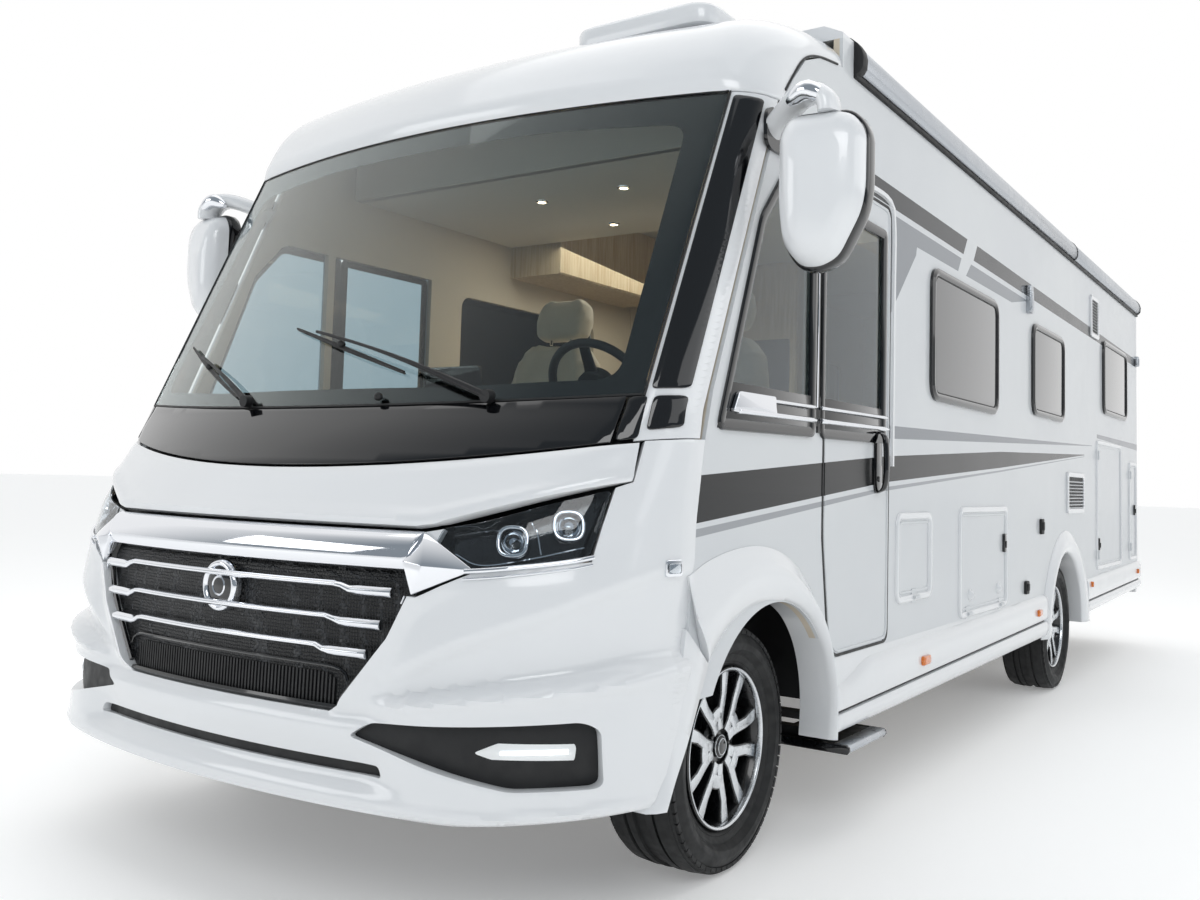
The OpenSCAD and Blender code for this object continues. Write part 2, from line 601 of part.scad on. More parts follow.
module dashboard() color("dimgray") from_axle() {
    plate_x(-inner_w + 60, 2 * inner_w - 120) polygon([[-560, 1150], [-560, 1300], [-300, 1420],
        [-100, 1400], [-60, 1300], [-150, 1000], [-290, 950], [-480, 950]]);
    box([-500, -330, floor_z + seat_gap], [500, -290, 951]);
    on_column() translate([0, 0, -330]) cylinder(h = 310 - seat_gap, r = 38);
}
module furniture() color("beige") from_axle() {
    side_gap = inner_w - seat_gap;
    low = floor_z + seat_gap;
    box([side_gap - 560, 2700, low], [side_gap, 3100, 2600]);
    box([-side_gap, 3420, 860 + seat_gap], [-side_gap + 800, 3900, 2600]);
    box([side_gap - 560, 1180, low], [side_gap, 2600, 1230]);
    box([-side_gap, 1180, low], [-side_gap + 500, 2500, 1230]);
    mirrored() box([side_gap - 320, 1500, 2230], [side_gap, 2600, 2600]);
    box([-side_gap, y_end - 2000, 1540], [side_gap, y_end - rear_inset - wall_t - seat_gap, 1700]);
    box([-side_gap, 400, 2400], [side_gap, 1450, 2540]);
}
module driver_step() color("black") from_axle()
    box([half_w - 260, driver_step_y[0], driver_step_z],
        [half_w + 40, driver_step_y[1], driver_step_z + step_t]);
module entry_step() color("black") from_axle()
    box([-half_w + 20, entry_step_y[0], entry_step_z],
        [-half_w + 380, entry_step_y[1], entry_step_z + step_t]);

chassis_frame();
floor();
wheel_houses();
left_wall();
right_wall();
rear_wall();
roof();
front_cap();
black_panels();
windscreen();
bonnet();
front_bumper();
grille();
lamps();
driver_door();
driver_window();
habitation_door();
side_windows();
side_skirts();
roof_rails();
front_roof_hatch();
rear_roof_hatch();
mirrors();
wipers();
service_flap();
locker_door();
left_garage_door();
gas_locker_door();
right_garage_door();
rear_bumper();
engine();
front_axle();
left_knuckle();
right_knuckle();
rear_axle();
front_left_rim();
front_right_rim();
rear_left_rim();
rear_right_rim();
front_left_tyre();
front_right_tyre();
rear_left_tyre();
rear_right_tyre();
seats();
dashboard();
steering_wheel();
furniture();
driver_step();
entry_step();
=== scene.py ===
"""Looks of an integrated motorhome, built round its packed frame."""
import math

import bmesh
import bpy
import numpy as np
from mathutils import Matrix, Vector
from mathutils.geometry import delaunay_2d_cdt


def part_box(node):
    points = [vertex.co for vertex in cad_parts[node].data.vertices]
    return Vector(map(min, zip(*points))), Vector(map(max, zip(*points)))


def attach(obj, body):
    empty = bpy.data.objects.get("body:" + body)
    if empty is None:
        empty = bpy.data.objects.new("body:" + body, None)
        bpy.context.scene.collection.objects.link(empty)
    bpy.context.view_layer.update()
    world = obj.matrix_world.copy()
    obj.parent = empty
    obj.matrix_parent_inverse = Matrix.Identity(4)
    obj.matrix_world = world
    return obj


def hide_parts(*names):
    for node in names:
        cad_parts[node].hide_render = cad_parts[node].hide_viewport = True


bl_info = {
    "name": "Motorhome",
    "version": (1, 0, 0),
    "blender": (4, 5, 0),
    "location": "View3D > Sidebar > Motorhome",
    "description": "Builds the body, glass, wheels and cab of an integrated motorhome",
    "category": "Object",
}

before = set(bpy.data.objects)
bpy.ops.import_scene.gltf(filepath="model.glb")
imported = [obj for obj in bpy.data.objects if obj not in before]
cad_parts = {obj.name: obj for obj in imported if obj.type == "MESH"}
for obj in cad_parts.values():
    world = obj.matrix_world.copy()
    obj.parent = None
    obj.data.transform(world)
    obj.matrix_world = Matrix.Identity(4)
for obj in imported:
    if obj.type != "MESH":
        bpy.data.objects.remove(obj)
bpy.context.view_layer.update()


def middle(node):
    low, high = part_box(node)
    return (low + high) / 2


# ---- Sizes in metres. Y is counted from the front axle, towards the rear ----
AXLE_Y = middle("front_left_tyre").y
WHEELBASE = middle("rear_left_tyre").y - AXLE_Y
HALF_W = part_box("side_windows")[1].x
ROOF_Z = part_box("front_cap")[1].z
NOSE_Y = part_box("front_bumper")[0].y - AXLE_Y
TAIL_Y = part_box("rear_bumper")[1].y - AXLE_Y
REAR_WALL_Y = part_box("rear_wall")[1].y - AXLE_Y
TYRE_R = middle("front_left_tyre").z
TYRE_HALF = (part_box("front_left_tyre")[1].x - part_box("front_left_tyre")[0].x) / 2
RIM_R = (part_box("front_left_rim")[1].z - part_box("front_left_rim")[0].z) / 2
FRONT_X = middle("front_left_tyre").x
REAR_X = middle("rear_left_tyre").x
SCREEN_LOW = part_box("windscreen")[0].z
SCREEN_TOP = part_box("windscreen")[1].z
SCREEN_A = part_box("windscreen")[1].x / HALF_W
BONNET_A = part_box("bonnet")[1].x / HALF_W
CAP_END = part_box("front_cap")[1].y - AXLE_Y
GAP = 0.007
FRONT, REAR = 0, WHEELBASE

# Rows up the front: height, Y at the middle, Y at the side edge, the share of
# the depth that is a parabola, and where the rounded corner starts
FACE = [
    (0.3, NOSE_Y, -0.56, 0.36, 0.62),
    (0.6, NOSE_Y + 0.005, -0.54, 0.36, 0.62),
    (0.9, NOSE_Y + 0.01, -0.52, 0.36, 0.62),
    (1.05, -1.045, -0.5, 0.4, 0.7),
    (SCREEN_LOW, -0.82, -0.445, 0.58, 0.9),
    (SCREEN_TOP, -0.33, -0.02, 0.58, 0.9),
]


def row_at(z, column):
    return np.interp(z, [r[0] for r in FACE], [r[column] for r in FACE])


def plan_share(a, part, start):
    corner = np.clip((np.abs(a) - start) / (1 - start), 0, 1)
    return 1 - part * a * a - (1 - part) * (1 - np.sqrt(1 - corner * corner))


def face_y(x, z):
    """Y of the moulded front at a place across and a height"""
    a = np.clip(x / HALF_W, -1, 1)
    side, ahead = row_at(z, 2), row_at(z, 1)
    return side + (ahead - side) * plan_share(a, row_at(z, 3), row_at(z, 4))


def face_x(y, z):
    """Distance from the middle at which the front's surface reaches a given Y"""
    xs = HALF_W * np.sin(np.linspace(0.3, math.pi / 2, 200))
    return float(np.interp(y, face_y(xs, z), xs))


def screen_low(x):
    return SCREEN_LOW + 0.039 * (x / HALF_W) ** 2


def bonnet_top(x):
    return 1.187 + 0.1 * (x / HALF_W) ** 2


def bonnet_low(x):
    return 1.033 + 0.13 * np.maximum(0, np.abs(x / HALF_W) - 0.56) / 0.37


def bumper_low(x):
    return 0.335 + 0.03 * np.clip((np.abs(x) - 0.78) / 0.35, 0, 1.1) ** 1.3


def smooth_step(value, low, high):
    t = np.clip((value - low) / (high - low), 0, 1)
    return t * t * (3 - 2 * t)


# ---- Outlines and meshes ----
def rounded(points, radius, steps=6):
    """Closed outline with each corner turned into a curve"""
    out = []
    for i, corner in enumerate(points):
        before, here, after = (Vector(points[i - 1]), Vector(corner),
                               Vector(points[(i + 1) % len(points)]))
        reach = min(radius, 0.45 * (before - here).length, 0.45 * (after - here).length)
        a = here + (before - here).normalized() * reach
        b = here + (after - here).normalized() * reach
        for k in range(steps + 1):
            t = k / steps
            out.append((1 - t) ** 2 * a + 2 * t * (1 - t) * here + t * t * b)
    return [tuple(p) for p in out]


def rect(low, high, radius, steps=6):
    return rounded([(low[0], low[1]), (high[0], low[1]), (high[0], high[1]),
                    (low[0], high[1])], radius, steps)


def grown(low, high, by, radius, steps=6):
    """Rounded rectangle that stands clear of a box by the same distance all round"""
    return rect((low[0] - by, low[1] - by), (high[0] + by, high[1] + by), radius, steps)


def around(u, v, half_u, half_v, radius, steps=6):
    """Rounded rectangle from its middle and its half sizes"""
    return rect((u - half_u, v - half_v), (u + half_u, v + half_v), radius, steps)


def sided(s, outline):
    return [(s * x, z) for x, z in outline]


def mirror_outline(points):
    return sided(-1, reversed(points))


def turns(count):
    """Angles of a full turn in equal steps"""
    return np.linspace(0, math.tau, count, endpoint=False)


def wall(side, out):
    """Places a plate's outline on a side wall, with its face a distance out"""
    return lambda u, v, w: Vector((side * (HALF_W + out - w), u, v))


def dense(points, step, closed=True):
    """The same outline with points no further apart than step"""
    out = []
    count = len(points) if closed else len(points) - 1
    for i in range(count):
        a, b = Vector(points[i]), Vector(points[(i + 1) % len(points)])
        pieces = max(1, math.ceil((b - a).length / step))
        out += [tuple(a.lerp(b, k / pieces)) for k in range(pieces)]
    if not closed:
        out.append(tuple(points[-1]))
    return out


def curve_through(points, count):
    """Smooth open line through a few points, evenly spaced"""
    pts = [Vector(p) for p in points]
    ends = [2 * pts[0] - pts[1]] + pts + [2 * pts[-1] - pts[-2]]
    fine = []
    for i in range(1, len(ends) - 2):
        p0, p1, p2, p3 = ends[i - 1:i + 3]
        for k in range(16):
            t = k / 16
            fine.append(0.5 * (2 * p1 + (p2 - p0) * t + (2 * p0 - 5 * p1 + 4 * p2 - p3) * t * t
                               + (3 * p1 - p0 - 3 * p2 + p3) * t ** 3))
    fine.append(pts[-1])
    lengths = np.cumsum([0] + [(b - a).length for a, b in zip(fine, fine[1:])])
    marks = np.linspace(0, lengths[-1], count)
    table = np.array([tuple(p) for p in fine])
    return [Vector([float(np.interp(m, lengths, table[:, c])) for c in range(table.shape[1])])
            for m in marks]


def grid_faces(rows, columns, close_rows=False, close_columns=False):
    faces = []
    for i in range(rows if close_rows else rows - 1):
        for j in range(columns if close_columns else columns - 1):
            i2, j2 = (i + 1) % rows, (j + 1) % columns
            faces.append((i * columns + j, i * columns + j2, i2 * columns + j2, i2 * columns + j))
    return faces


class Shape:
    """Points and faces that pile up before they become one piece"""

    def __init__(self):
        self.points = []
        self.faces = []
        self.slots = []

    def add(self, points, faces, slot=0):
        base = len(self.points)
        self.points += [tuple(p) for p in points]
        self.faces += [tuple(base + i for i in f) for f in faces]
        self.slots += [slot] * len(faces)
        return self

    def loft(self, rings, closed=True, caps=True, slot=0):
        """Skin over rings of points that all have the same count"""
        rings = [list(r) for r in rings]
        count = len(rings[0])
        points = [p for ring in rings for p in ring]
        faces = grid_faces(len(rings), count, close_columns=closed)
        if caps and closed:
            faces.append(tuple(reversed(range(count))))
            faces.append(tuple(range(len(points) - count, len(points))))
        return self.add(points, faces, slot)

    def tube(self, path, radius, sides=10, slot=0):
        """Round bar along a path; radius is one number or one for each point"""
        path = [Vector(p) for p in path]
        radii = [float(r) for r in radius] if isinstance(radius, (list, tuple)) \
            else [radius] * len(path)
        rings = []
        for i, p in enumerate(path):
            along = (path[min(i + 1, len(path) - 1)] - path[max(i - 1, 0)]).normalized()
            side = along.cross(Vector((0, 0, 1)))
            side = side.normalized() if side.length > 0.1 else Vector((1, 0, 0))
            up = side.cross(along)
            rings.append([p + (side * math.cos(t) + up * math.sin(t)) * radii[i]
                          for t in turns(sides)])
        return self.loft(rings, slot=slot)

    def sweep(self, path, profile, across, slot=0, closed_path=False):
        """Profile of (out, along across) pairs carried along a path on a surface.
        across(p) gives the surface's outward direction at a point."""
        path = [Vector(p) for p in path]
        rings = []
        n = len(path)
        for i, p in enumerate(path):
            if closed_path:
                along = path[(i + 1) % n] - path[i - 1]
            else:
                along = path[min(i + 1, n - 1)] - path[max(i - 1, 0)]
            out = Vector(across(p))
            wide = out.cross(along.normalized()).normalized()
            rings.append([p + out * o + wide * w for o, w in profile])
        points = [p for ring in rings for p in ring]
        faces = grid_faces(n, len(profile), close_rows=closed_path, close_columns=True)
        if not closed_path:
            faces += [tuple(reversed(range(len(profile)))),
                      tuple(range(len(points) - len(profile), len(points)))]
        return self.add(points, faces, slot)

    def prism(self, outline, place, depth, slot=0, inner=None):
        """Flat outline made a plate: place(u, v, w) turns it into space, w from 0 to depth"""
        n = len(outline)
        front = [place(u, v, 0) for u, v in outline]
        back = [place(u, v, depth) for u, v in outline]
        if inner is None:
            faces = [tuple(range(n)), tuple(reversed(range(n, 2 * n)))]
            faces += [(i, i + n, (i + 1) % n + n, (i + 1) % n) for i in range(n)]
            return self.add(front + back, faces, slot)
        front_in = [place(u, v, 0) for u, v in inner]
        back_in = [place(u, v, depth) for u, v in inner]
        faces = []
        for i in range(n):
            j = (i + 1) % n
            faces += [(i, j, j + 2 * n, i + 2 * n), (i + n, i + 3 * n, j + 3 * n, j + n),
                      (i, i + n, j + n, j), (i + 2 * n, j + 2 * n, j + 3 * n, i + 3 * n)]
        return self.add(front + back + front_in + back_in, faces, slot)

    def ball(self, centre, radii, segments=20, rings=12, slot=0):
        points, faces = [Vector(centre) + Vector((0, 0, radii[2]))], []
        for i in range(1, rings):
            v = math.pi * i / rings
            for j in range(segments):
                u = 2 * math.pi * j / segments
                points.append(Vector(centre) + Vector((radii[0] * math.sin(v) * math.cos(u),
                                                       radii[1] * math.sin(v) * math.sin(u),
                                                       radii[2] * math.cos(v))))
        points.append(Vector(centre) - Vector((0, 0, radii[2])))
        last = len(points) - 1
        for j in range(segments):
            k = (j + 1) % segments
            faces.append((0, 1 + j, 1 + k))
            for i in range(rings - 2):
                a, b = 1 + i * segments, 1 + (i + 1) * segments
                faces.append((a + j, b + j, b + k, a + k))
            a = 1 + (rings - 2) * segments
            faces.append((a + j, last, a + k))
        return self.add(points, faces, slot)

    def turned(self, profile, centre=(0, 0, 0), axis="x", steps=64, slot=0):
        """Profile of (radius, along) pairs spun about an axis through centre"""
        rings = []
        for k in range(steps):
            t = 2 * math.pi * k / steps
            c, s = math.cos(t), math.sin(t)
            spin = {"x": lambda r, w: (w, r * c, r * s), "y": lambda r, w: (r * c, w, r * s),
                    "z": lambda r, w: (r * c, r * s, w)}[axis]
            rings.append([Vector(centre) + Vector(spin(r, w)) for r, w in profile])
        points = [p for ring in rings for p in ring]
        return self.add(points, grid_faces(steps, len(profile), close_rows=True), slot)


def inside(point, outline):
    """Whether a flat point lies within a closed outline"""
    crossed = False
    for i, (x1, y1) in enumerate(outline):
        x0, y0 = outline[i - 1]
        if (y0 > point[1]) != (y1 > point[1]):
            crossed ^= point[0] < x0 + (point[1] - y0) * (x1 - x0) / (y1 - y0)
    return crossed


def edge_rims(triangles):
    """Edges that only one triangle uses, each in that triangle's direction"""
    seen = {}
    for t in triangles:
        for i in range(3):
            a, b = t[i], t[(i + 1) % 3]
            key = (min(a, b), max(a, b))
            seen[key] = None if key in seen else (a, b)
    return [e for e in seen.values() if e]


def face_plate(outline, holes=(), relief=None, inset=0.0, thick=0.004, step=0.018, shape=None,
               slot=0):
    """Plate that follows the moulded front inside an outline drawn in X and Z.
    relief(x, z) lifts its outer face, and inset sinks the whole plate."""
    coords, edges = [], []
    for loop in (dense(o, step) for o in [outline, *holes]):
        base = len(coords)
        coords += loop
        edges += [(base + i, base + (i + 1) % len(loop)) for i in range(len(loop))]
    rim = np.array(coords)
    (x0, z0), (x1, z1) = rim.min(0), rim.max(0)
    half = int(HALF_W * math.pi / 2 / step)
    xs = [HALF_W * math.sin(math.pi / 2 * i / half) for i in range(-half, half + 1)]
    zs = np.arange(z0, z1, step)
    inner = np.array([(x, z) for x in xs for z in zs if x0 < x < x1])
    if len(inner):
        near = np.min(np.linalg.norm(inner[:, None, :] - rim[None, :, :], axis=2), axis=1)
        inner = inner[near > 0.45 * step]
        coords += [tuple(p) for p in inner]
    verts, _, faces, *_ = delaunay_2d_cdt([Vector(c) for c in coords], edges, [], 1, 1e-6)
    faces = [f for f in faces
             if not any(inside(sum((verts[i] for i in f), Vector((0, 0))) / len(f), hole)
                        for hole in holes)]
    x, z = np.array([v.x for v in verts]), np.array([v.y for v in verts])
    d = 0.002
    slope_x = (face_y(x + d, z) - face_y(x - d, z)) / (2 * d)
    slope_x = np.clip(np.where(np.abs(x) > HALF_W - d, np.sign(x) * 6, slope_x), -6, 6)
    slope_z = (face_y(x, z + d) - face_y(x, z - d)) / (2 * d)
    normal = np.stack([slope_x, -np.ones_like(x), slope_z], 1)
    normal /= np.linalg.norm(normal, axis=1)[:, None]
    base = np.stack([x, face_y(x, z), z], 1) - normal * inset
    lift = np.zeros_like(x)
    if relief:
        # Averaged over a small patch, so that creases run smooth across the triangles
        spread = 0.7 * step * np.array([-1.0, -0.5, 0.0, 0.5, 1.0])
        lift = np.mean([relief(x + i, z + k) for i in spread for k in spread], axis=0)
    outer = base + normal * lift[:, None]
    inner_skin = base - normal * thick
    n = len(verts)
    tris = []
    for f in faces:
        a, b, c = f[:3]
        u, v, w = (outer[i] for i in (a, b, c))
        facing = np.dot(np.cross(v - u, w - u), normal[a])
        tris.append((a, b, c) if facing > 0 else (a, c, b))
    quads = [(a, a + n, b + n, b) for a, b in edge_rims(tris)]
    shape = shape or Shape()
    back = [tuple(i + n for i in reversed(t)) for t in tris]
    return shape.add(list(outer) + list(inner_skin), tris + back + quads, slot)


SLOTS = {
    "White gel coat": "white_grp", "Gloss coated aluminium panel": "white_panel",
    "Grained black polypropylene": "black_plastic", "Rubber seal": "black_plastic",
    "Moulded grille mesh": "black_plastic", "Gloss black acrylic": "black_gloss",
    "Chromed trim": "bright_trim", "Anodised aluminium": "anodised_rail",
    "Laminated glass": "clear_glass", "Ceramic printed border": "clear_glass",
    "Tinted acrylic": "tinted_acrylic", "Tempered side glass": "tinted_acrylic",
    "Polycarbonate lens": "lamp_lens", "Amber reflector": "lamp_lens",
    "Red lamp lens": "lamp_lens", "Warm spot lamp": "lamp_lens",
    "Blank reflective plate": "lamp_lens", "Tyre rubber": "tyre_rubber",
    "Grained dashboard skin": "dash_plastic", "Laminated light oak": "cabinet_wood",
    "Dark blue lacquer": "cabinet_wood", "Pale ceiling fleece": "cabinet_wood",
    "Cream leather": "cream_leather",
}


def piece(name, shape, materials, body="body", slot=None, replaces=(), **looks):
    """Turns a Shape into a finished object that rides on a body"""
    mesh = bpy.data.meshes.new(name)
    mesh.from_pydata([tuple(p) for p in shape.points], [], shape.faces)
    for polygon, index in zip(mesh.polygons, shape.slots):
        polygon.material_index = index
    return finish(name, mesh, materials, body, slot, replaces, **looks)


def finish(name, mesh, materials, body="body", slot=None, replaces=(), bevel=0.0, segments=2,
           angle=40, subdivide=0, flat=False):
    """Cleans, bevels, shades and mounts a mesh whose Y counts from the front axle"""
    materials = [materials] if isinstance(materials, str) else materials
    obj = bpy.data.objects.new(name, mesh)
    bpy.context.scene.collection.objects.link(obj)
    bm = bmesh.new()
    bm.from_mesh(mesh)
    bmesh.ops.remove_doubles(bm, verts=bm.verts, dist=1e-5)
    bmesh.ops.dissolve_degenerate(bm, edges=bm.edges, dist=1e-6)
    bmesh.ops.recalc_face_normals(bm, faces=bm.faces)
    bmesh.ops.translate(bm, verts=bm.verts, vec=(0, AXLE_Y, 0))
    bm.to_mesh(mesh)
    bm.free()
    for material in materials:
        mesh.materials.append(MATERIALS[material])
    bpy.context.view_layer.objects.active = obj
    if bevel:
        cut = obj.modifiers.new("Bevel", "BEVEL")
        cut.width, cut.segments, cut.limit_method = bevel, segments, "ANGLE"
        cut.angle_limit = math.radians(angle)
        cut.harden_normals = False
        apply_modifiers(obj)
    if subdivide:
        smooth = obj.modifiers.new("Subdivision", "SUBSURF")
        smooth.levels = smooth.render_levels = subdivide
        apply_modifiers(obj)
    if flat:
        obj.data.shade_flat()
    else:
        obj.data.shade_smooth()
        mark_sharp(obj.data, math.radians(max(angle, 32)))
    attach(obj, body)
    slot or SLOTS[materials[0]]
    if replaces:
        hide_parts(*replaces)
    return obj


def apply_modifiers(obj):
    """Replaces the object's mesh by what its modifiers make of it"""
    bpy.context.view_layer.update()
    graph = bpy.context.evaluated_depsgraph_get()
    result = bpy.data.meshes.new_from_object(obj.evaluated_get(graph))
    old = obj.data
    obj.modifiers.clear()
    obj.data = result
    bpy.data.meshes.remove(old)


def mark_sharp(mesh, angle):
    bm = bmesh.new()
    bm.from_mesh(mesh)
    for edge in bm.edges:
        edge.smooth = len(edge.link_faces) != 2 or edge.calc_face_angle(0) < angle
    bm.to_mesh(mesh)
    bm.free()


# ---- Materials ----
MATERIALS = {}


def linear(text):
    """sRGB hex such as f4f4f2 as a linear colour"""
    parts = [int(text[i:i + 2], 16) / 255 for i in (0, 2, 4)]
    return [c / 12.92 if c <= 0.04045 else ((c + 0.055) / 1.055) ** 2.4 for c in parts] + [1.0]


def add_node(tree, kind, inputs=None, **settings):
    """Adds a node, sets its properties, and links or fills its inputs"""
    node = tree.nodes.new(kind)
    for key, value in settings.items():
        setattr(node, key, value)
    for key, value in (inputs or {}).items():
        if isinstance(value, bpy.types.NodeSocket):
            tree.links.new(value, node.inputs[key])
        else:
            node.inputs[key].default_value = value
    return node


def shader(name, colour, roughness, wear=None, grain=None, **sockets):
    """New material; returns its tree and its Principled shader. wear is the size in mm and
    the two roughnesses of finish_of, grain the size, detail, strength and depth of a bump."""
    material = bpy.data.materials.new(name)
    material.use_nodes = True
    tree = material.node_tree
    principled = tree.nodes["Principled BSDF"]
    principled.inputs["Base Color"].default_value = linear(colour)
    principled.inputs["Roughness"].default_value = roughness
    for key, value in sockets.items():
        principled.inputs[key.replace("_", " ")].default_value = value
    MATERIALS[name] = material
    if wear:
        finish_of(tree, principled, *wear)
    if grain:
        size, detail, strength, depth = grain
        bump(tree, principled, noise(tree, size, detail), strength, depth)
    return tree, principled


def place_of(tree):
    return add_node(tree, "ShaderNodeTexCoord").outputs["Object"]


def noise(tree, size_mm, detail=2.0, rough=0.5, place=None):
    """Noise whose cells are about size_mm across"""
    return add_node(tree, "ShaderNodeTexNoise", {
        "Vector": place or place_of(tree), "Scale": 1000 / size_mm, "Detail": detail,
        "Roughness": rough}).outputs["Fac"]


def ramp(tree, value, low, high, out_low=0.0, out_high=1.0):
    return add_node(tree, "ShaderNodeMapRange", {
        "Value": value, "From Min": low, "From Max": high, "To Min": out_low,
        "To Max": out_high}).outputs["Result"]


def two_tone(tree, fac, first, second):
    mix = add_node(tree, "ShaderNodeMix", data_type="RGBA")
    tree.links.new(fac, mix.inputs["Factor"])
    for index, value in ((6, first), (7, second)):
        if isinstance(value, str):
            mix.inputs[index].default_value = linear(value)
        else:
            tree.links.new(value, mix.inputs[index])
    return mix.outputs[2]


def bump(tree, principled, height, strength, distance_mm):
    made = add_node(tree, "ShaderNodeBump", {
        "Height": height, "Strength": strength, "Distance": distance_mm / 1000})
    tree.links.new(made.outputs["Normal"], principled.inputs["Normal"])
    return made


def finish_of(tree, principled, wear_mm, low, high):
    """Roughness that wanders a little, as a wiped and weathered surface does"""
    tree.links.new(ramp(tree, noise(tree, wear_mm, 4.0), 0.3, 0.7, low, high),
                   principled.inputs["Roughness"])


def gloss_paint(name, first, second, low, high, waviness):
    """Sprayed and polished gel coat: a clear gloss over a faint orange peel"""
    tree, p = shader(name, first, low, Coat_Weight=0.6, Coat_Roughness=0.03, IOR=1.5)
    tree.links.new(two_tone(tree, ramp(tree, noise(tree, 900, 3.0), 0.35, 0.65), first, second),
                   p.inputs["Base Color"])
    finish_of(tree, p, 240, low, high)
    bump(tree, p, noise(tree, 9, 1.0), waviness, 0.15)
    return tree, p


def dot_with(tree, place, y_part, z_part, offset):
    """offset + y_part * Y + z_part * Z at the shaded point"""
    dot = add_node(tree, "ShaderNodeVectorMath", {0: place, 1: (0.0, y_part, z_part)},
                   operation="DOT_PRODUCT").outputs["Value"]
    return add_node(tree, "ShaderNodeMath", {0: dot, 1: offset}, operation="ADD").outputs[0]


def edge_mask(tree, place, start, end):
    """1 on the upper left of the line from start to end in Y and Z, with a 1 mm soft edge"""
    (y0, z0), (y1, z1) = start, end
    length = math.hypot(y1 - y0, z1 - z0)
    ny, nz = -(z1 - z0) / length, (y1 - y0) / length
    offset = -(ny * (y0 + AXLE_Y) + nz * z0)
    distance = dot_with(tree, place, ny, nz, offset)
    return add_node(tree, "ShaderNodeMath", {0: distance, 1: 1000.0, 2: 0.5},
                    operation="MULTIPLY_ADD", use_clamp=True).outputs[0]


def join_masks(tree, masks, operation):
    total = masks[0]
    for mask in masks[1:]:
        total = add_node(tree, "ShaderNodeMath", {0: total, 1: mask},
                         operation=operation).outputs[0]
    return total


def decal_mask(tree, place, outline):
    """1 inside a convex outline given anticlockwise in Y and Z"""
    return join_masks(tree, [edge_mask(tree, place, outline[i - 1], outline[i])
                             for i in range(len(outline))], "MINIMUM")


# Stripes on the side walls, each a list of convex outlines in Y and Z
DARK_STRIPE = [
    [(-0.535, 1.058), (0.93, 1.19), (0.93, 1.286), (-0.505, 1.187)],
    [(0.93, 1.19), (2.54, 1.283), (2.54, 1.362), (0.93, 1.286)],
    [(2.54, 1.283), (4.6, 1.415), (4.6, 1.419), (2.54, 1.362)],
]
UPPER_STRIPE = [
    [(0.3, 2.236), (1.9, 2.226), (1.96, 2.306), (0.3, 2.318)],
    [(2.06, 2.226), (7.0, 2.19), (7.0, 2.25), (2.12, 2.306)],
]
THIN_STRIPE = [
    [(-0.546, 1.02), (0.93, 1.158), (0.93, 1.172), (-0.546, 1.042)],
    [(0.93, 1.158), (2.54, 1.262), (2.54, 1.271), (0.93, 1.172)],
    [(2.54, 1.262), (4.6, 1.404), (4.6, 1.408), (2.54, 1.271)],
]
GREY_BAND = [
    [(0.96, 1.353), (4.85, 1.484), (4.85, 1.488), (0.96, 1.402)],
    [(4.62, 1.428), (5.02, 1.56), (5.1, 1.56), (4.72, 1.428)],
    [(5.02, 1.545), (7.0, 1.52), (7.0, 1.572), (5.02, 1.572)],
]
GREY_FIELD = [
    [(0.955, 1.34), (1.16, 1.8), (1.25, 2.1), (1.36, 2.205), (0.955, 2.208)],
    [(1.25, 2.135), (1.82, 2.135), (1.87, 2.202), (1.25, 2.206)],
    [(1.94, 2.135), (2.75, 2.135), (3.1, 2.194), (2.02, 2.201)],
]


def striped_panel():
    """Gloss coated aluminium sheet with printed foil stripes: flatter and greyer than gel coat"""
    # Painted shade: the two grey base colours stand in for the side walls lying in shade, while
    # the front gel coat stays bright
    tree, p = gloss_paint("Gloss coated aluminium panel", "d2d5d7", "cdd0d3", 0.16, 0.24, 0.05)
    p.inputs["Coat Weight"].default_value = 0.1
    p.inputs["Specular IOR Level"].default_value = 0.25
    place = place_of(tree)
    base = p.inputs["Base Color"].links[0].from_socket
    for outlines, colour in ((GREY_FIELD, "85898e"), (GREY_BAND, "85898e"),
                             (THIN_STRIPE, "9b9ea2"), (UPPER_STRIPE, "1c1f23"),
                             (DARK_STRIPE, "121416")):
        mask = join_masks(tree, [decal_mask(tree, place, o) for o in outlines], "MAXIMUM")
        base = two_tone(tree, mask, base, colour)
    # The inner face of the sandwich is lined with cream fleece
    across = add_node(tree, "ShaderNodeSeparateXYZ", {"Vector": place}).outputs["X"]
    depth = add_node(tree, "ShaderNodeMath", {0: across}, operation="ABSOLUTE").outputs[0]
    outside = ramp(tree, depth, HALF_W - 0.014, HALF_W - 0.01)
    tree.links.new(two_tone(tree, outside, "cfc4b2", base), p.inputs["Base Color"])


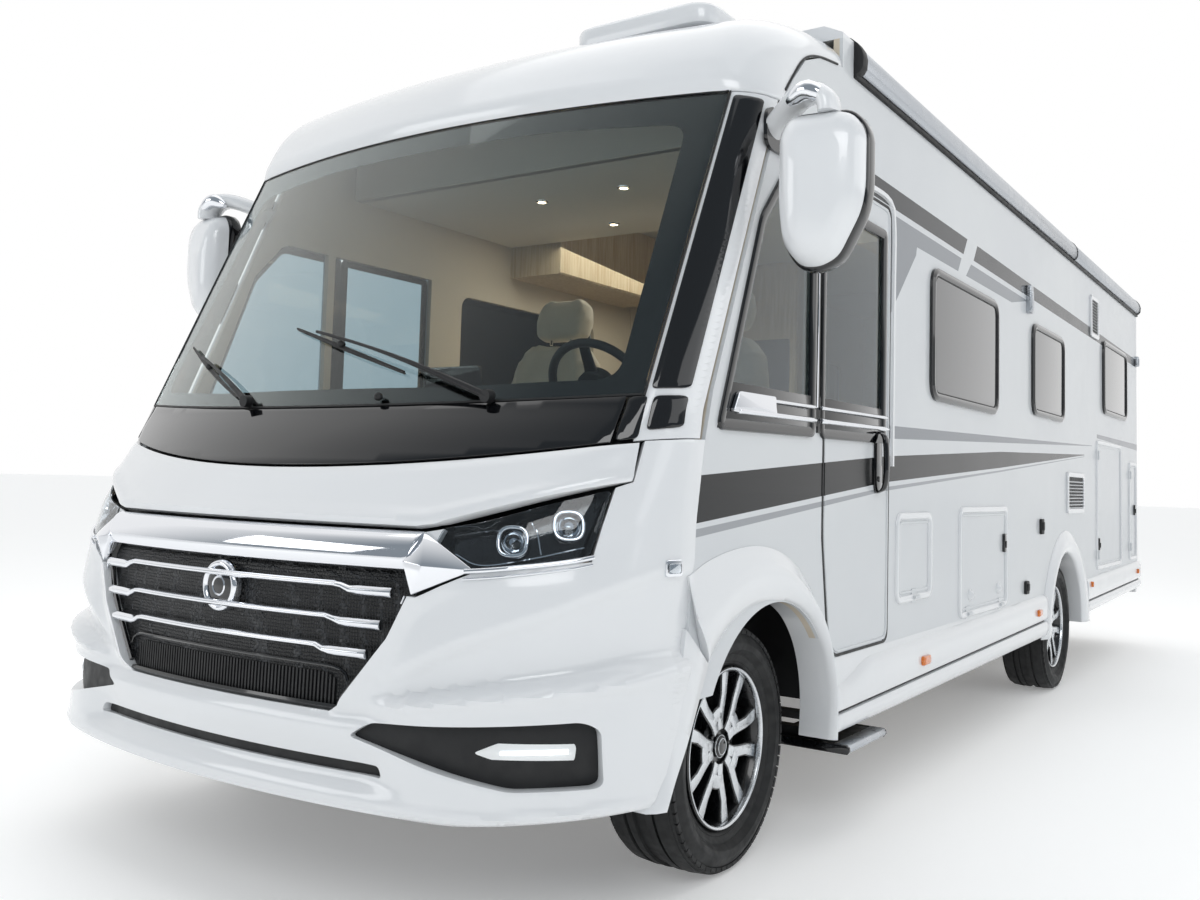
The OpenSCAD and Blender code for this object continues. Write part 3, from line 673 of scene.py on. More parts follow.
def make_materials(colours):
    gloss_paint("White gel coat", colours.body, "dfe1e3", 0.14, 0.22, 0.06)
    striped_panel()
    # Injection moulded acrylic over black: deep gloss with faint flow marks
    shader("Gloss black acrylic", "06070a", 0.05, (160, 0.03, 0.1), (60, 2.0, 0.03, 0.2),
           Coat_Weight=0.5, IOR=1.49)
    # Grained polypropylene: fine moulded leather grain that scatters the light
    shader("Grained black polypropylene", "101113", 0.55, (40, 0.45, 0.62),
           (1.6, 3.0, 0.35, 0.12), IOR=1.49)
    # Extruded rubber seal: dull black with a slight bloom
    shader("Rubber seal", "0b0c0d", 0.5, (30, 0.42, 0.62), IOR=1.52)
    # Chromed plastic trim: mirror bright, a touch blue in the shade
    shader("Chromed trim", "e6e8ec", 0.04, (120, 0.025, 0.07), (40, 2.0, 0.02, 0.2), Metallic=1.0)
    # Anodised aluminium extrusion: satin, with drawing lines along it
    tree, p = shader("Anodised aluminium", "b9bdc2", 0.3, (60, 0.24, 0.36), Metallic=1.0)
    lines = add_node(tree, "ShaderNodeMapping", {"Vector": place_of(tree), "Scale": (1, 0.02, 1)})
    bump(tree, p, noise(tree, 1.5, 2.0, place=lines.outputs["Vector"]), 0.12, 0.1)
    # Laminated windscreen glass: clear, with a green-grey body and wiped film
    shader("Laminated glass", "dfe9e8", 0.01, (300, 0.0, 0.02), Transmission_Weight=1.0, IOR=1.45)
    # Printed ceramic border fired on the glass: black with a soft inner dot fade
    shader("Ceramic printed border", "0c0d10", 0.08, (120, 0.06, 0.12), Coat_Weight=0.4)
    # Tinted cast acrylic of the caravan windows: dark, reflective, slightly wavy
    shader("Tinted acrylic", "0b1118", 0.03, (200, 0.02, 0.05), (350, 2.0, 0.06, 3.0),
           Transmission_Weight=0.12, IOR=1.49, Coat_Weight=0.7)
    # Tempered cab side glass: lighter tint than the acrylic
    shader("Tempered side glass", "9fb2bc", 0.01, (300, 0.0, 0.02), Transmission_Weight=1.0,
           IOR=1.45)
    # Hard coated polycarbonate lens
    shader("Polycarbonate lens", "eef3f6", 0.01, (200, 0.0, 0.015), Transmission_Weight=1.0,
           IOR=1.4)
    # Lit light guide: frosted white that glows
    tree, p = shader("Lit light guide", "f4f6f8", 0.25, grain=(4, 1.0, 0.2, 0.3),
                     Emission_Strength=0.9)
    p.inputs["Emission Color"].default_value = linear("f7fbff")
    # Warm lamp glass of the ceiling spots
    tree, p = shader("Warm spot lamp", "fff1dc", 0.3, grain=(3, 1.0, 0.1, 0.1),
                     Emission_Strength=14.0)
    p.inputs["Emission Color"].default_value = linear("ffe3bd")
    for name, colour in (("Amber reflector", "e8780a"), ("Red lamp lens", "a30d12")):
        # Moulded prism lens: bright colour with a fine ribbed back
        tree, p = shader(name, colour, 0.12, (60, 0.08, 0.16), Coat_Weight=0.8, IOR=1.49,
                     Transmission_Weight=0.15)
        ribs = add_node(tree, "ShaderNodeTexWave", {"Vector": place_of(tree), "Scale": 60.0},
                        bands_direction="Y").outputs["Fac"]
        bump(tree, p, ribs, 0.3, 0.5)
        # Cast aluminium painted gloss black, and the same face turned bright on a lathe
    shader("Black painted alloy", "0d0e10", 0.22, (50, 0.16, 0.3), (2, 2.0, 0.05, 0.1),
           Coat_Weight=0.5)
    shader("Diamond turned alloy", "d6d9dc", 0.24, (25, 0.18, 0.32), (6, 2.0, 0.05, 0.05),
           Metallic=1.0)
    # Tyre rubber: carbon black, dusty in the grooves, matt with a moulded sheen
    tree, p = shader("Tyre rubber", "131415", 0.62, (35, 0.5, 0.75), (1.2, 3.0, 0.3, 0.15),
                     IOR=1.5)
    tree.links.new(two_tone(tree, ramp(tree, noise(tree, 60, 5.0), 0.4, 0.8), "101112", "1d1e1f"),
                   p.inputs["Base Color"])
    # Zinc primed and waxed chassis steel
    shader("Waxed chassis steel", "1b1c1e", 0.45, (45, 0.35, 0.6), (5, 4.0, 0.2, 0.3),
           Metallic=0.4)
    shader("Cast iron", "4a4b4d", 0.55, (20, 0.45, 0.7), (3, 4.0, 0.4, 0.4), Metallic=0.7)
    # Pigmented hide: fine pebble grain with soft sheen and slight mottling
    tree, p = shader("Cream leather", colours.leather, 0.48, (50, 0.42, 0.58), Sheen_Weight=0.15,
                     IOR=1.45)
    tree.links.new(two_tone(tree, noise(tree, 70, 3.0), colours.leather, "cfc4b0"),
                   p.inputs["Base Color"])
    grain = add_node(tree, "ShaderNodeTexVoronoi", {"Vector": place_of(tree), "Scale": 420.0},
                     feature="DISTANCE_TO_EDGE").outputs["Distance"]
    bump(tree, p, grain, 0.3, 0.4)
    # Slush moulded dashboard skin: dark grey with a soft grain
    shader("Grained dashboard skin", "1d2024", 0.6, (60, 0.5, 0.68), (2.2, 3.0, 0.3, 0.15),
           Sheen_Weight=0.1)
    # Laminated light oak board: long straight grain under a satin film
    tree, p = shader("Laminated light oak", colours.cabinet, 0.4, IOR=1.5)
    drawn = add_node(tree, "ShaderNodeMapping", {"Vector": place_of(tree), "Scale": (1, 1, 0.06)})
    grain = noise(tree, 14, 5.0, place=drawn.outputs["Vector"])
    tree.links.new(two_tone(tree, ramp(tree, grain, 0.35, 0.7), colours.cabinet, "bda787"),
                   p.inputs["Base Color"])
    bump(tree, p, grain, 0.08, 0.3)
    # Wall and ceiling lining: pale coated fleece
    shader("Pale ceiling fleece", "d5d2ca", 0.85, (80, 0.78, 0.92), (2.5, 4.0, 0.4, 0.3),
           Sheen_Weight=0.2)
    # Lacquered dark blue cupboard front
    shader("Dark blue lacquer", "1d2942", 0.25, (90, 0.18, 0.3), (12, 1.0, 0.03, 0.1),
           Coat_Weight=0.4)
    # Plywood floor with a vinyl cover
    tree, p = shader("Vinyl covered plywood", "6e6558", 0.5, grain=(6, 3.0, 0.1, 0.2))
    tree.links.new(two_tone(tree, noise(tree, 40, 5.0), "776d5e", "5c5347"),
                   p.inputs["Base Color"])
    # Black mesh insert: hexagonal cells about 6 mm across, drawn at 9 mm so that they show; the
    # cell middles are painted shade of the openings, the webs dark grey
    tree, p = shader("Moulded grille mesh", "0b0c0e", 0.35, IOR=1.49)
    cells = add_node(tree, "ShaderNodeTexVoronoi", {"Vector": place_of(tree), "Scale": 110.0,
                                                    "Randomness": 0.35},
                     feature="DISTANCE_TO_EDGE").outputs["Distance"]
    # Painted shade: the middle of each cell goes near black, standing in for the dark seen through
    # the mesh openings
    tree.links.new(two_tone(tree, ramp(tree, cells, 0.04, 0.16), "23262a", "020202"),
                   p.inputs["Base Color"])
    bump(tree, p, ramp(tree, cells, 0.02, 0.18, 1.0, 0.0), 0.9, 3.0)
    # Number plate blank: white reflective sheet
    shader("Blank reflective plate", "eceeee", 0.3, grain=(3, 1.0, 0.1, 0.1))
    # Studio floor: matt pale paint
    tree, p = shader("Matt studio floor", "fafaf9", 0.75, (900, 0.7, 0.82),
                     Emission_Strength=0.22)
    p.inputs["Emission Color"].default_value = linear("ffffff")


# ---- The moulded front ----
GRILLE_SIDE = [(0.425, 0.562), (0.455, 0.58), (0.6, 0.76), (0.652, 0.868)]
WING_LOW = [(0.672, 0.866), (0.812, 0.934)]
LAMP_OUTER = [(1.04, 0.966), (1.05, 1.045), (1.056, 1.15)]
HEADLAMP = [(0.69, 0.996), (0.7, 1.036), (0.8, 1.056), (0.9, 1.09), (1.05, 1.144),
            (1.046, 1.045), (1.036, 0.982), (0.94, 0.956), (0.815, 0.938)]
FOG_RECESS = [(0.5, 0.512), (0.56, 0.55), (1.04, 0.586), (1.068, 0.566), (1.076, 0.43),
              (0.917, 0.423), (0.7, 0.47)]
AIR_SLOT = [(-0.6, 0.418), (0.6, 0.418), (0.588, 0.446), (-0.588, 0.446)]


def distance_to(outline, x, z):
    """Distance of points from a closed outline, whichever side they lie on"""
    best = np.full(np.shape(x), 9.0)
    for i in range(len(outline)):
        a, b = np.array(outline[i - 1]), np.array(outline[i])
        ab = b - a
        t = np.clip(((x - a[0]) * ab[0] + (z - a[1]) * ab[1]) / (ab @ ab + 1e-12), 0, 1)
        best = np.minimum(best, np.hypot(x - a[0] - t * ab[0], z - a[1] - t * ab[1]))
    return best


def grille_mouth():
    right = GRILLE_SIDE + [(0.64, 0.94)]
    return right + mirror_outline(right)


def bumper_relief(x, z):
    """Creases of the bumper: an upper and a lower body line, the chin and the lip"""
    across = np.abs(x)
    upper = np.interp(across, [0.62, 0.784, 0.995, 1.16], [0.665, 0.752, 0.849, 0.955])
    lower = np.interp(across, [0.5, 0.847, 1.04, 1.16], [0.585, 0.64, 0.668, 0.7])
    knots = [0.0, 0.035, 0.045, 0.6, 0.66, 0.95, 1.0, 1.2]
    lifts = [0.004, 0.034, 0.02, 0.016, -0.022, -0.006, 0.014, 0.0]
    # Height as a share: 0 at the lip, 0.6 at the lower crease, 1 at the upper one
    low = bumper_low(x)
    share = np.where(z < lower, 0.6 * (z - low) / (lower - low),
                     0.6 + 0.4 * (z - lower) / (upper - lower))
    share = np.where(z > upper, 1 + (z - upper) / 0.6, share)
    side = np.interp(share, knots, lifts) + 0.022 * np.exp(-((share - 0.59) / 0.045) ** 2)
    chin = np.interp(z, [0.33, 0.345, 0.375, 0.405, 0.455, 0.5, 0.535, 0.56, 0.6],
                     [0.008, 0.016, 0.014, -0.016, -0.014, 0.004, 0.012, -0.012, 0.0])
    rim = 0.012 * np.clip(1 - distance_to(grille_mouth(), x, z) / 0.038, 0, 1)
    blend = smooth_step(across, 0.52, 0.72)
    fade = 1 - smooth_step(across, 1.08, 1.16) * 0.5
    return side * blend * fade + chin * (1 - blend) + rim * smooth_step(z, 0.56, 0.6)


def build_bumper(settings):
    low = [(x, float(bumper_low(x))) for x in np.linspace(-1.14, 1.14, 41)]
    edge = [(1.152, 0.44), (1.158, 0.54), (HALF_W, 0.64), (HALF_W, 1.284), (1.13, 1.278)]
    top_inner = [(1.088, 1.272), (1.084, 1.166)]
    side = edge + top_inner + list(reversed(LAMP_OUTER)) + list(reversed(WING_LOW))
    outline = low + side + list(reversed(GRILLE_SIDE)) + mirror_outline(
        side + list(reversed(GRILLE_SIDE)))
    holes = [rounded(FOG_RECESS, 0.02), rounded(mirror_outline(FOG_RECESS), 0.02),
             rounded(AIR_SLOT, 0.012)]
    shape = face_plate(outline, holes, bumper_relief, thick=0.03, step=0.0125)
    for s in (1, -1):
        wedge = [(0.64, 1.024), (0.704, 1.036), (0.69, 0.994), (0.74, 0.972), (0.69, 0.975)]
        face_plate(sided(s, wedge), relief=lambda x, z: 0 * x - 0.004,
                   thick=0.02, shape=shape)
        bumper_flange(shape, s)
    piece("front_bumper_skin", shape, "White gel coat", replaces=["front_bumper"], bevel=0.004,
          segments=3, angle=50)
    dark = Shape()
    for s in (1, -1):
        face_plate(dense(sided(s, FOG_RECESS), 0.05), inset=0.022, thick=0.01,
                   relief=lambda x, z: 0.01 * np.sin((z - 0.42) * 18), shape=dark)
    face_plate(AIR_SLOT, inset=0.028, thick=0.01, shape=dark)
    piece("bumper_recess_panels", dark, "Grained black polypropylene")
    glow = Shape()
    for s in (1, -1):
        blade = [(0.835, 0.505), (0.905, 0.538), (1.02, 0.543), (1.036, 0.528), (1.034, 0.486),
                 (0.915, 0.478)]
        face_plate(rounded(sided(s, blade), 0.012), inset=0.018, thick=0.02,
                   relief=lambda x, z: 0.01 * np.clip(1 - np.abs(z - 0.51) / 0.04, 0, 1),
                   step=0.008, shape=glow, slot=0)
        bar = [(0.895, 0.514), (1.022, 0.52), (1.022, 0.508), (0.895, 0.504)]
        face_plate(sided(s, bar), inset=0.002, thick=0.004, step=0.008,
                   shape=glow, slot=1)
    piece("fog_light_guides", glow, ["Blank reflective plate", "Lit light guide"], bevel=0.003)


ARCH_OPEN = [(0.405, 0.345), (0.412, 0.45), (0.395, 0.55), (0.345, 0.655), (0.255, 0.745),
             (0.14, 0.8), (0.0, 0.826), (-0.14, 0.826), (-0.27, 0.795), (-0.37, 0.74),
             (-0.425, 0.69)]
FLANGE_OPEN = [(-0.425, 0.69), (-0.475, 0.6), (-0.53, 0.5), (-0.585, 0.42), (-0.625, 0.352)]
FLANGE_OUT = [(-0.54, 0.79), (-0.565, 0.66), (-0.6, 0.545), (-0.64, 0.44), (-0.68, 0.35)]


def bumper_flange(shape, side):
    """Edge of the bumper round the front of the wheel opening, with its return inwards"""
    outer = curve_through(FLANGE_OUT, 15)
    opening = curve_through(FLANGE_OPEN, 15)
    rows = []
    for (y0, z0), (y1, z1) in zip(outer, opening):
        x0 = min(face_x(y0, z0), HALF_W) - 0.004
        x1 = HALF_W + 0.004
        rows.append([(side * x, y, z) for x, y, z in (
            (x0 - 0.03, y0, z0), (x0 + 0.006, y0, z0),
            ((x0 + x1) / 2 + 0.012, (y0 + y1) / 2 - 0.01, (z0 + z1) / 2),
            (x1 + 0.01, y1 - 0.012, z1), (x1, y1, z1), (x1 - 0.1, y1 + 0.012, z1),
            (x1 - 0.1, y1 - 0.02, z1))])
    shape.loft(rows)


def build_bonnet(settings):
    edge = np.linspace(-BONNET_A, BONNET_A, 49) * HALF_W
    outline = [(x, float(bonnet_low(x)) + 0.003) for x in edge]
    outline += [(x, float(bonnet_top(x)) - GAP) for x in reversed(edge)]

    def relief(x, z):
        low, top = bonnet_low(x), bonnet_top(x)
        share = (z - low) / (top - low)
        return np.interp(share, [0, 0.1, 0.2, 0.8, 0.86, 1],
                         [0.004, 0.024, 0.012, 0.006, 0.006, -0.004])
    shape = face_plate(outline, relief=relief, thick=0.014, step=0.0125)
    piece("bonnet_skin", shape, "White gel coat", "bonnet", replaces=["bonnet"], bevel=0.004,
          segments=3, angle=50)
    shape = face_plate([(x, float(bonnet_low(x)) - 0.05) for x in edge]
                       + [(x, float(bonnet_top(x)) + 0.02) for x in reversed(edge)],
                       inset=0.05, thick=0.01, step=0.05)
    piece("bonnet_shut_panel", shape, "Grained black polypropylene")


def build_cap(settings):
    rows, columns = 33, 72
    side = [(-0.02, SCREEN_TOP + 0.0005), (0.06, 2.44), (0.15, 2.53), (0.264, 2.576),
            (CAP_END, 2.61)]
    side = [(p[0], p[1]) for p in curve_through(side, rows)]
    lead = row_at(SCREEN_TOP, 1)
    outer, inner = [], []
    for i in range(rows):
        t = i / (rows - 1)
        turn = math.pi / 2 * t
        crown = (CAP_END + (lead - CAP_END) * math.cos(turn),
                 SCREEN_TOP + (ROOF_Z - SCREEN_TOP) * math.sin(turn))
        ring, ring_in = [], []
        for j in range(columns + 1):
            a = math.sin(math.pi / 2 * (2 * j / columns - 1))
            w = float(plan_share(a, 0.5 * (1 - t) + 0.08, 0.9 - 0.15 * t))
            brow = 0.012 * math.exp(-((t - 0.07) / 0.06) ** 2) * w
            y = side[i][0] + (crown[0] - side[i][0]) * w - brow
            z = side[i][1] + (crown[1] - side[i][1]) * w
            ring.append((HALF_W * a, y, z))
            ring_in.append(((HALF_W - 0.026) * a, y + 0.026 * w * (1 - t), z - 0.026 * w * t))
        outer.append(ring)
        inner.append(ring_in)
    count = columns + 1
    shape = Shape()
    points = [p for r in outer for p in r] + [p for r in inner for p in r]
    n = rows * count
    faces = grid_faces(rows, count)
    faces += [tuple(n + i for i in reversed(f)) for f in grid_faces(rows, count)]
    for j in range(count - 1):
        faces += [(j, n + j, n + j + 1, j + 1),
                  (n - count + j, n - count + j + 1, 2 * n - count + j + 1, 2 * n - count + j)]
    for i in range(rows - 1):
        a, b = i * count, i * count + count - 1
        faces += [(a, a + count, n + a + count, n + a), (b, n + b, n + b + count, b + count)]
    shape.add(points, faces)
    build_deflector()
    piece("cap_skin", shape, "White gel coat", replaces=["front_cap"], bevel=0.004, angle=60)
    rim = Shape()
    for s in (1, -1):
        path = [(s * (HALF_W + 0.001), y - 0.012, z) for y, z in side[3:-2]]
        rim.tube(path, 0.004, 6)
    piece("cap_seams", rim, "Rubber seal")


def build_deflector():
    """Low fairing on the crown, ahead of the front roof light"""
    fairing = Shape()
    cx, cyy, z0, z1 = 0.545, 0.285, 2.725, 2.815
    base = around(0, 0, 0.285, 0.185, 0.09, 8)
    fairing.loft([[(cx + x * k, cyy + y * k, z0 + (z1 - z0) * h) for x, y in base]
                  for k, h in ((1.0, 0.0), (1.0, 0.62), (0.985, 0.74), (0.9, 0.86),
                               (0.72, 0.97), (0.4, 1.0))])
    piece("hatch_fairing", fairing, "White gel coat", bevel=0.003, angle=50)


def screen_outline(shrink):
    edge = np.linspace(-SCREEN_A + shrink, SCREEN_A - shrink, 41) * HALF_W
    return ([(x, float(screen_low(x)) + shrink) for x in edge]
            + [(x, SCREEN_TOP - shrink) for x in reversed(edge)])


def build_windscreen(settings):
    glass = face_plate(screen_outline(0.0), inset=0.001, thick=0.006, step=0.035)
    piece("windscreen_glass", glass, "Laminated glass", replaces=["windscreen"], angle=60)
    clear = rounded([(-0.985, 1.44), (-0.5, 1.418), (0.5, 1.418), (0.985, 1.44),
                     (0.962, 2.238), (0.5, 2.262), (-0.5, 2.262), (-0.962, 2.238)], 0.06)
    border = face_plate(screen_outline(0.002), [clear], inset=0.0076, thick=0.001, step=0.03)
    piece("windscreen_printed_border", border, "Ceramic printed border", angle=60)


def build_black_panels(settings):
    """Gloss pillars beside the windscreen and the panel below it, with white trims between"""
    inner_a, outer_a = SCREEN_A * HALF_W + 0.01, 1.142
    black, white = Shape(), Shape()
    edge = np.linspace(-1.022, 1.022, 41)
    under = [(x, float(bonnet_top(x)) + 0.001) for x in edge]
    under += [(x, float(screen_low(x)) - 0.004) for x in reversed(edge)]
    face_plate(under, thick=0.014, step=0.02, shape=black,
               relief=lambda x, z: 0.004 * np.sin(np.clip((z - bonnet_top(x)) / 0.17, 0, 1)
                                                  * math.pi))
    for s in (1, -1):
        corner = [(1.03, 1.269), (1.074, 1.277), (1.074, 1.392), (1.03, 1.386)]
        lower = [(1.086, 1.3), (outer_a, 1.312), (outer_a, 1.398), (1.086, 1.392)]
        upper = [(1.076, 1.412), (outer_a, 1.418), (outer_a, SCREEN_TOP - 0.018),
                 (1.076, SCREEN_TOP - 0.014)]
        for outline in (corner, lower, upper):
            face_plate(rounded(sided(s, outline), 0.012, 3), thick=0.012, step=0.02,
                       relief=lambda x, z: 0 * x + 0.003, shape=black)
        ground = [(inner_a - 0.004, 1.272), (HALF_W - 0.001, 1.286),
                  (HALF_W - 0.001, SCREEN_TOP), (inner_a - 0.004, SCREEN_TOP)]
        face_plate(sided(s, ground), inset=0.003, thick=0.012, step=0.02, shape=white)
    piece("pillar_covers", black, "Gloss black acrylic", replaces=["black_panels"], bevel=0.002,
          angle=50)
    piece("pillar_trims", white, "White gel coat", bevel=0.002, angle=50)
    seals = Shape()

    def seal(line, back, front, y_at=None):
        path = [(x, float(face_y(x if y_at is None else y_at, z)), float(z)) for x, z in line]
        seals.sweep(path, [(-0.004, -back), (front[0], -front[1]), (front[0], front[1]),
                           (-0.004, back)], lambda p: face_normal(p[0], p[2]))

    across = np.linspace(-1.06, 1.06, 40)
    seal([(x, screen_low(x)) for x in across], 0.004, (0.003, 0.003))
    for s in (1, -1):
        edge = SCREEN_A * HALF_W
        seal([(s * (edge + 0.004), z) for z in np.linspace(SCREEN_LOW + 0.03, SCREEN_TOP, 40)],
             0.0025, (0.002, 0.002), edge)
    seal([(x, SCREEN_TOP) for x in across], 0.003, (0.002, 0.003))
    piece("windscreen_seals", seals, "Rubber seal")


def face_normal(x, z):
    d = 0.003
    x = float(np.clip(x, -HALF_W + 0.01, HALF_W - 0.01))
    slope_x = float((face_y(x + d, z) - face_y(x - d, z)) / (2 * d))
    slope_z = float((face_y(x, z + d) - face_y(x, z - d)) / (2 * d))
    return Vector((slope_x, -1, slope_z)).normalized()


def on_front(x, z, out=0.0):
    """Point of the moulded front, lifted off it"""
    return Vector((x, float(face_y(x, z)), z)) + out * face_normal(x, z)


def front_line(line, out=0.0, s=1):
    """Points of a line drawn in X and Z, laid on the moulded front"""
    return [on_front(s * x, z, out) for x, z in line]


def copies_tree(material, in_ring):
    """Geometry Nodes that copy the incoming shape along a line, or round the X axis"""
    tree = bpy.data.node_groups.new("Copies of a shape", "GeometryNodeTree")
    for name, kind in (("Geometry", "Geometry"), ("Count", "Int"), ("Step", "Vector")):
        tree.interface.new_socket(name, in_out="INPUT", socket_type="NodeSocket" + kind)
    tree.interface.new_socket("Geometry", in_out="OUTPUT", socket_type="NodeSocketGeometry")
    given = tree.nodes.new("NodeGroupInput").outputs
    line = add_node(tree, "GeometryNodeMeshLine", {"Count": given["Count"],
                                                   "Offset": given["Step"]})
    inputs = {"Points": line.outputs["Mesh"], "Instance": given["Geometry"]}
    if in_ring:
        index = add_node(tree, "GeometryNodeInputIndex").outputs[0]
        share = add_node(tree, "ShaderNodeMath", {0: math.tau, 1: given["Count"]},
                         operation="DIVIDE").outputs[0]
        angle = add_node(tree, "ShaderNodeMath", {0: index, 1: share}, operation="MULTIPLY")
        inputs["Rotation"] = add_node(tree, "ShaderNodeCombineXYZ",
                                      {"X": angle.outputs[0]}).outputs[0]
    copies = add_node(tree, "GeometryNodeInstanceOnPoints", inputs)
    real = add_node(tree, "GeometryNodeRealizeInstances",
                    {"Geometry": copies.outputs["Instances"]})
    paint = add_node(tree, "GeometryNodeSetMaterial", {"Geometry": real.outputs["Geometry"],
                                                       "Material": material})
    add_node(tree, "NodeGroupOutput", {"Geometry": paint.outputs["Geometry"]})
    return tree


def repeated(name, shape, material, values, body="body", slot=None, centre=(0, 0, 0), side=1,
             in_ring=False, flat=False):
    """Copies a Shape by Geometry Nodes, then makes the result a plain piece"""
    mesh = bpy.data.meshes.new(name)
    mesh.from_pydata([tuple(p) for p in shape.points], [], shape.faces)
    obj = bpy.data.objects.new(name + "_source", mesh)
    bpy.context.scene.collection.objects.link(obj)
    made = obj.modifiers.new("Copies", "NODES")
    made.node_group = copies_tree(MATERIALS[material], in_ring)
    for item in made.node_group.interface.items_tree:
        if item.in_out == "INPUT" and item.name in values:
            made[item.identifier] = values[item.name]
    bpy.context.view_layer.update()
    graph = bpy.context.evaluated_depsgraph_get()
    result = bpy.data.meshes.new_from_object(obj.evaluated_get(graph))
    bpy.data.objects.remove(obj)
    result.materials.clear()
    result.transform(Matrix.Translation(centre) @ Matrix.Diagonal((side, 1, 1, 1)))
    return finish(name, result, material, body, slot, flat=flat)


def build_grille(settings):
    chrome = Shape()
    lit = lambda x, z: np.interp(z, [0.93, 0.936, 0.962, 1.0, 1.02, 1.026],
                                 [0.0, 0.016, 0.026, 0.024, 0.012, 0.0])
    bar = [(-0.628, 0.93), (0.628, 0.93), (0.655, 1.024), (-0.655, 1.024)]
    face_plate(bar, relief=lit, thick=0.012, step=0.0125, shape=chrome)
    for s in (1, -1):
        root = [(0.628, 0.93), (0.655, 1.024), (0.812, 0.938), (0.66, 0.872)]
        ridge = on_front(s * 0.69, 0.935, 0.03)
        corners = front_line(root, 0.006, s)
        corners[0] = on_front(s * 0.628, 0.945, 0.024)
        back = front_line(root, -0.014, s)
        chrome.add([ridge] + corners + back,
                   [(0, 1, 2), (0, 2, 3), (0, 3, 4), (0, 4, 1), (1, 5, 6, 2), (2, 6, 7, 3),
                    (3, 7, 8, 4), (4, 8, 5, 1), (5, 8, 7, 6)])
        for low, out, r in ((0.0, 0.006, 0.007), (-0.018, 0.004, 0.004)):
            path = [on_front(s * x, z + low, out) for x, z in
                    curve_through([(0.79, 0.934), (0.86, 0.942), (0.95, 0.956),
                                   (1.01, 0.968), (1.042, 0.978)], 24)]
            chrome.tube(path, r, 8)
        rim = curve_through([(0.64, 0.868), (0.59, 0.765), (0.452, 0.586)], 16)
        chrome.tube(front_line(rim[:1] + rim[1:2], 0.0, s), 0.003, 6)
    piece("grille_surround", chrome, "Chromed trim", replaces=["grille"], bevel=0.002, angle=20)
    bars = Shape()
    for z, end in ((0.885, 0.606), (0.803, 0.578), (0.728, 0.54)):
        kink = end - 0.135
        rings = []
        for x in np.linspace(-end, end, 49):
            drop = 0.012 * float(smooth_step(abs(x), kink - 0.03, kink + 0.01))
            p = on_front(x, z - drop, 0.004)
            w = 0.0085 + 0.004 * float(smooth_step(abs(p.x), kink, kink + 0.02))
            out = face_normal(p.x, p.z)
            rings.append([p + out * o + Vector((0, 0, v)) for o, v in
                          ((-0.01, -w), (0.004, -w), (0.011, -0.4 * w), (0.011, 0.3 * w),
                           (0.003, w), (-0.01, w))])
        bars.loft(rings)
    piece("grille_bars", bars, "Chromed trim", bevel=0.0015, angle=30)
    piece("grille_mesh", face_plate(grille_mouth(), inset=0.03, thick=0.008, step=0.02),
          "Moulded grille mesh")
    frame_line = Shape()
    edge = curve_through([(-0.47, 0.64), (-0.44, 0.668), (-0.3, 0.674), (0.3, 0.674),
                          (0.44, 0.668), (0.47, 0.64)], 48)
    frame_line.tube(front_line(edge, -0.022), 0.004, 6)
    inner = curve_through([(0.455, 0.592), (0.6, 0.768), (0.64, 0.862)], 12)
    for s in (1, -1):
        frame_line.tube(front_line(inner, -0.018, s), 0.008, 6)
    frame_line.tube([on_front(x, 0.572, -0.018) for x in np.linspace(-0.44, 0.44, 20)], 0.008, 6)
    piece("grille_trim_lines", frame_line, "Gloss black acrylic", slot="black_plastic")
    ribs = Shape()
    for k in range(-33, 34):
        x = k * 0.0128
        top = 0.655 - 0.5 * max(0, abs(x) - 0.4)
        foot, head = on_front(x, 0.578, -0.029), on_front(x, top, -0.029)
        ribs.loft([[p + Vector((w, d, 0)) for w, d in ((-0.0032, 0.004), (-0.0032, -0.004),
                                                       (0.0032, -0.004), (0.0032, 0.004))]
                   for p in (foot, head)])
    piece("grille_ribs", ribs, "Grained black polypropylene", flat=True)
    badge = Shape()
    for profile, steps, slot in (
            ([(0.052, 0.004), (0.054, -0.006), (0.06, -0.01), (0.067, -0.008), (0.071, 0.0),
              (0.071, 0.016), (0.052, 0.016)], 64, 0),
            ([(0.0001, -0.006), (0.03, -0.0055), (0.053, -0.002), (0.053, 0.01),
              (0.0001, 0.01)], 48, 1),
            ([(0.022, -0.006), (0.025, -0.0085), (0.028, -0.006), (0.028, -0.002),
              (0.022, -0.002)], 40, 0)):
        badge.turned(profile, (0, NOSE_Y + 0.012, 0.848), "y", steps, slot)
    piece("plain_badge", badge, ["Chromed trim", "Gloss black acrylic"], angle=50)


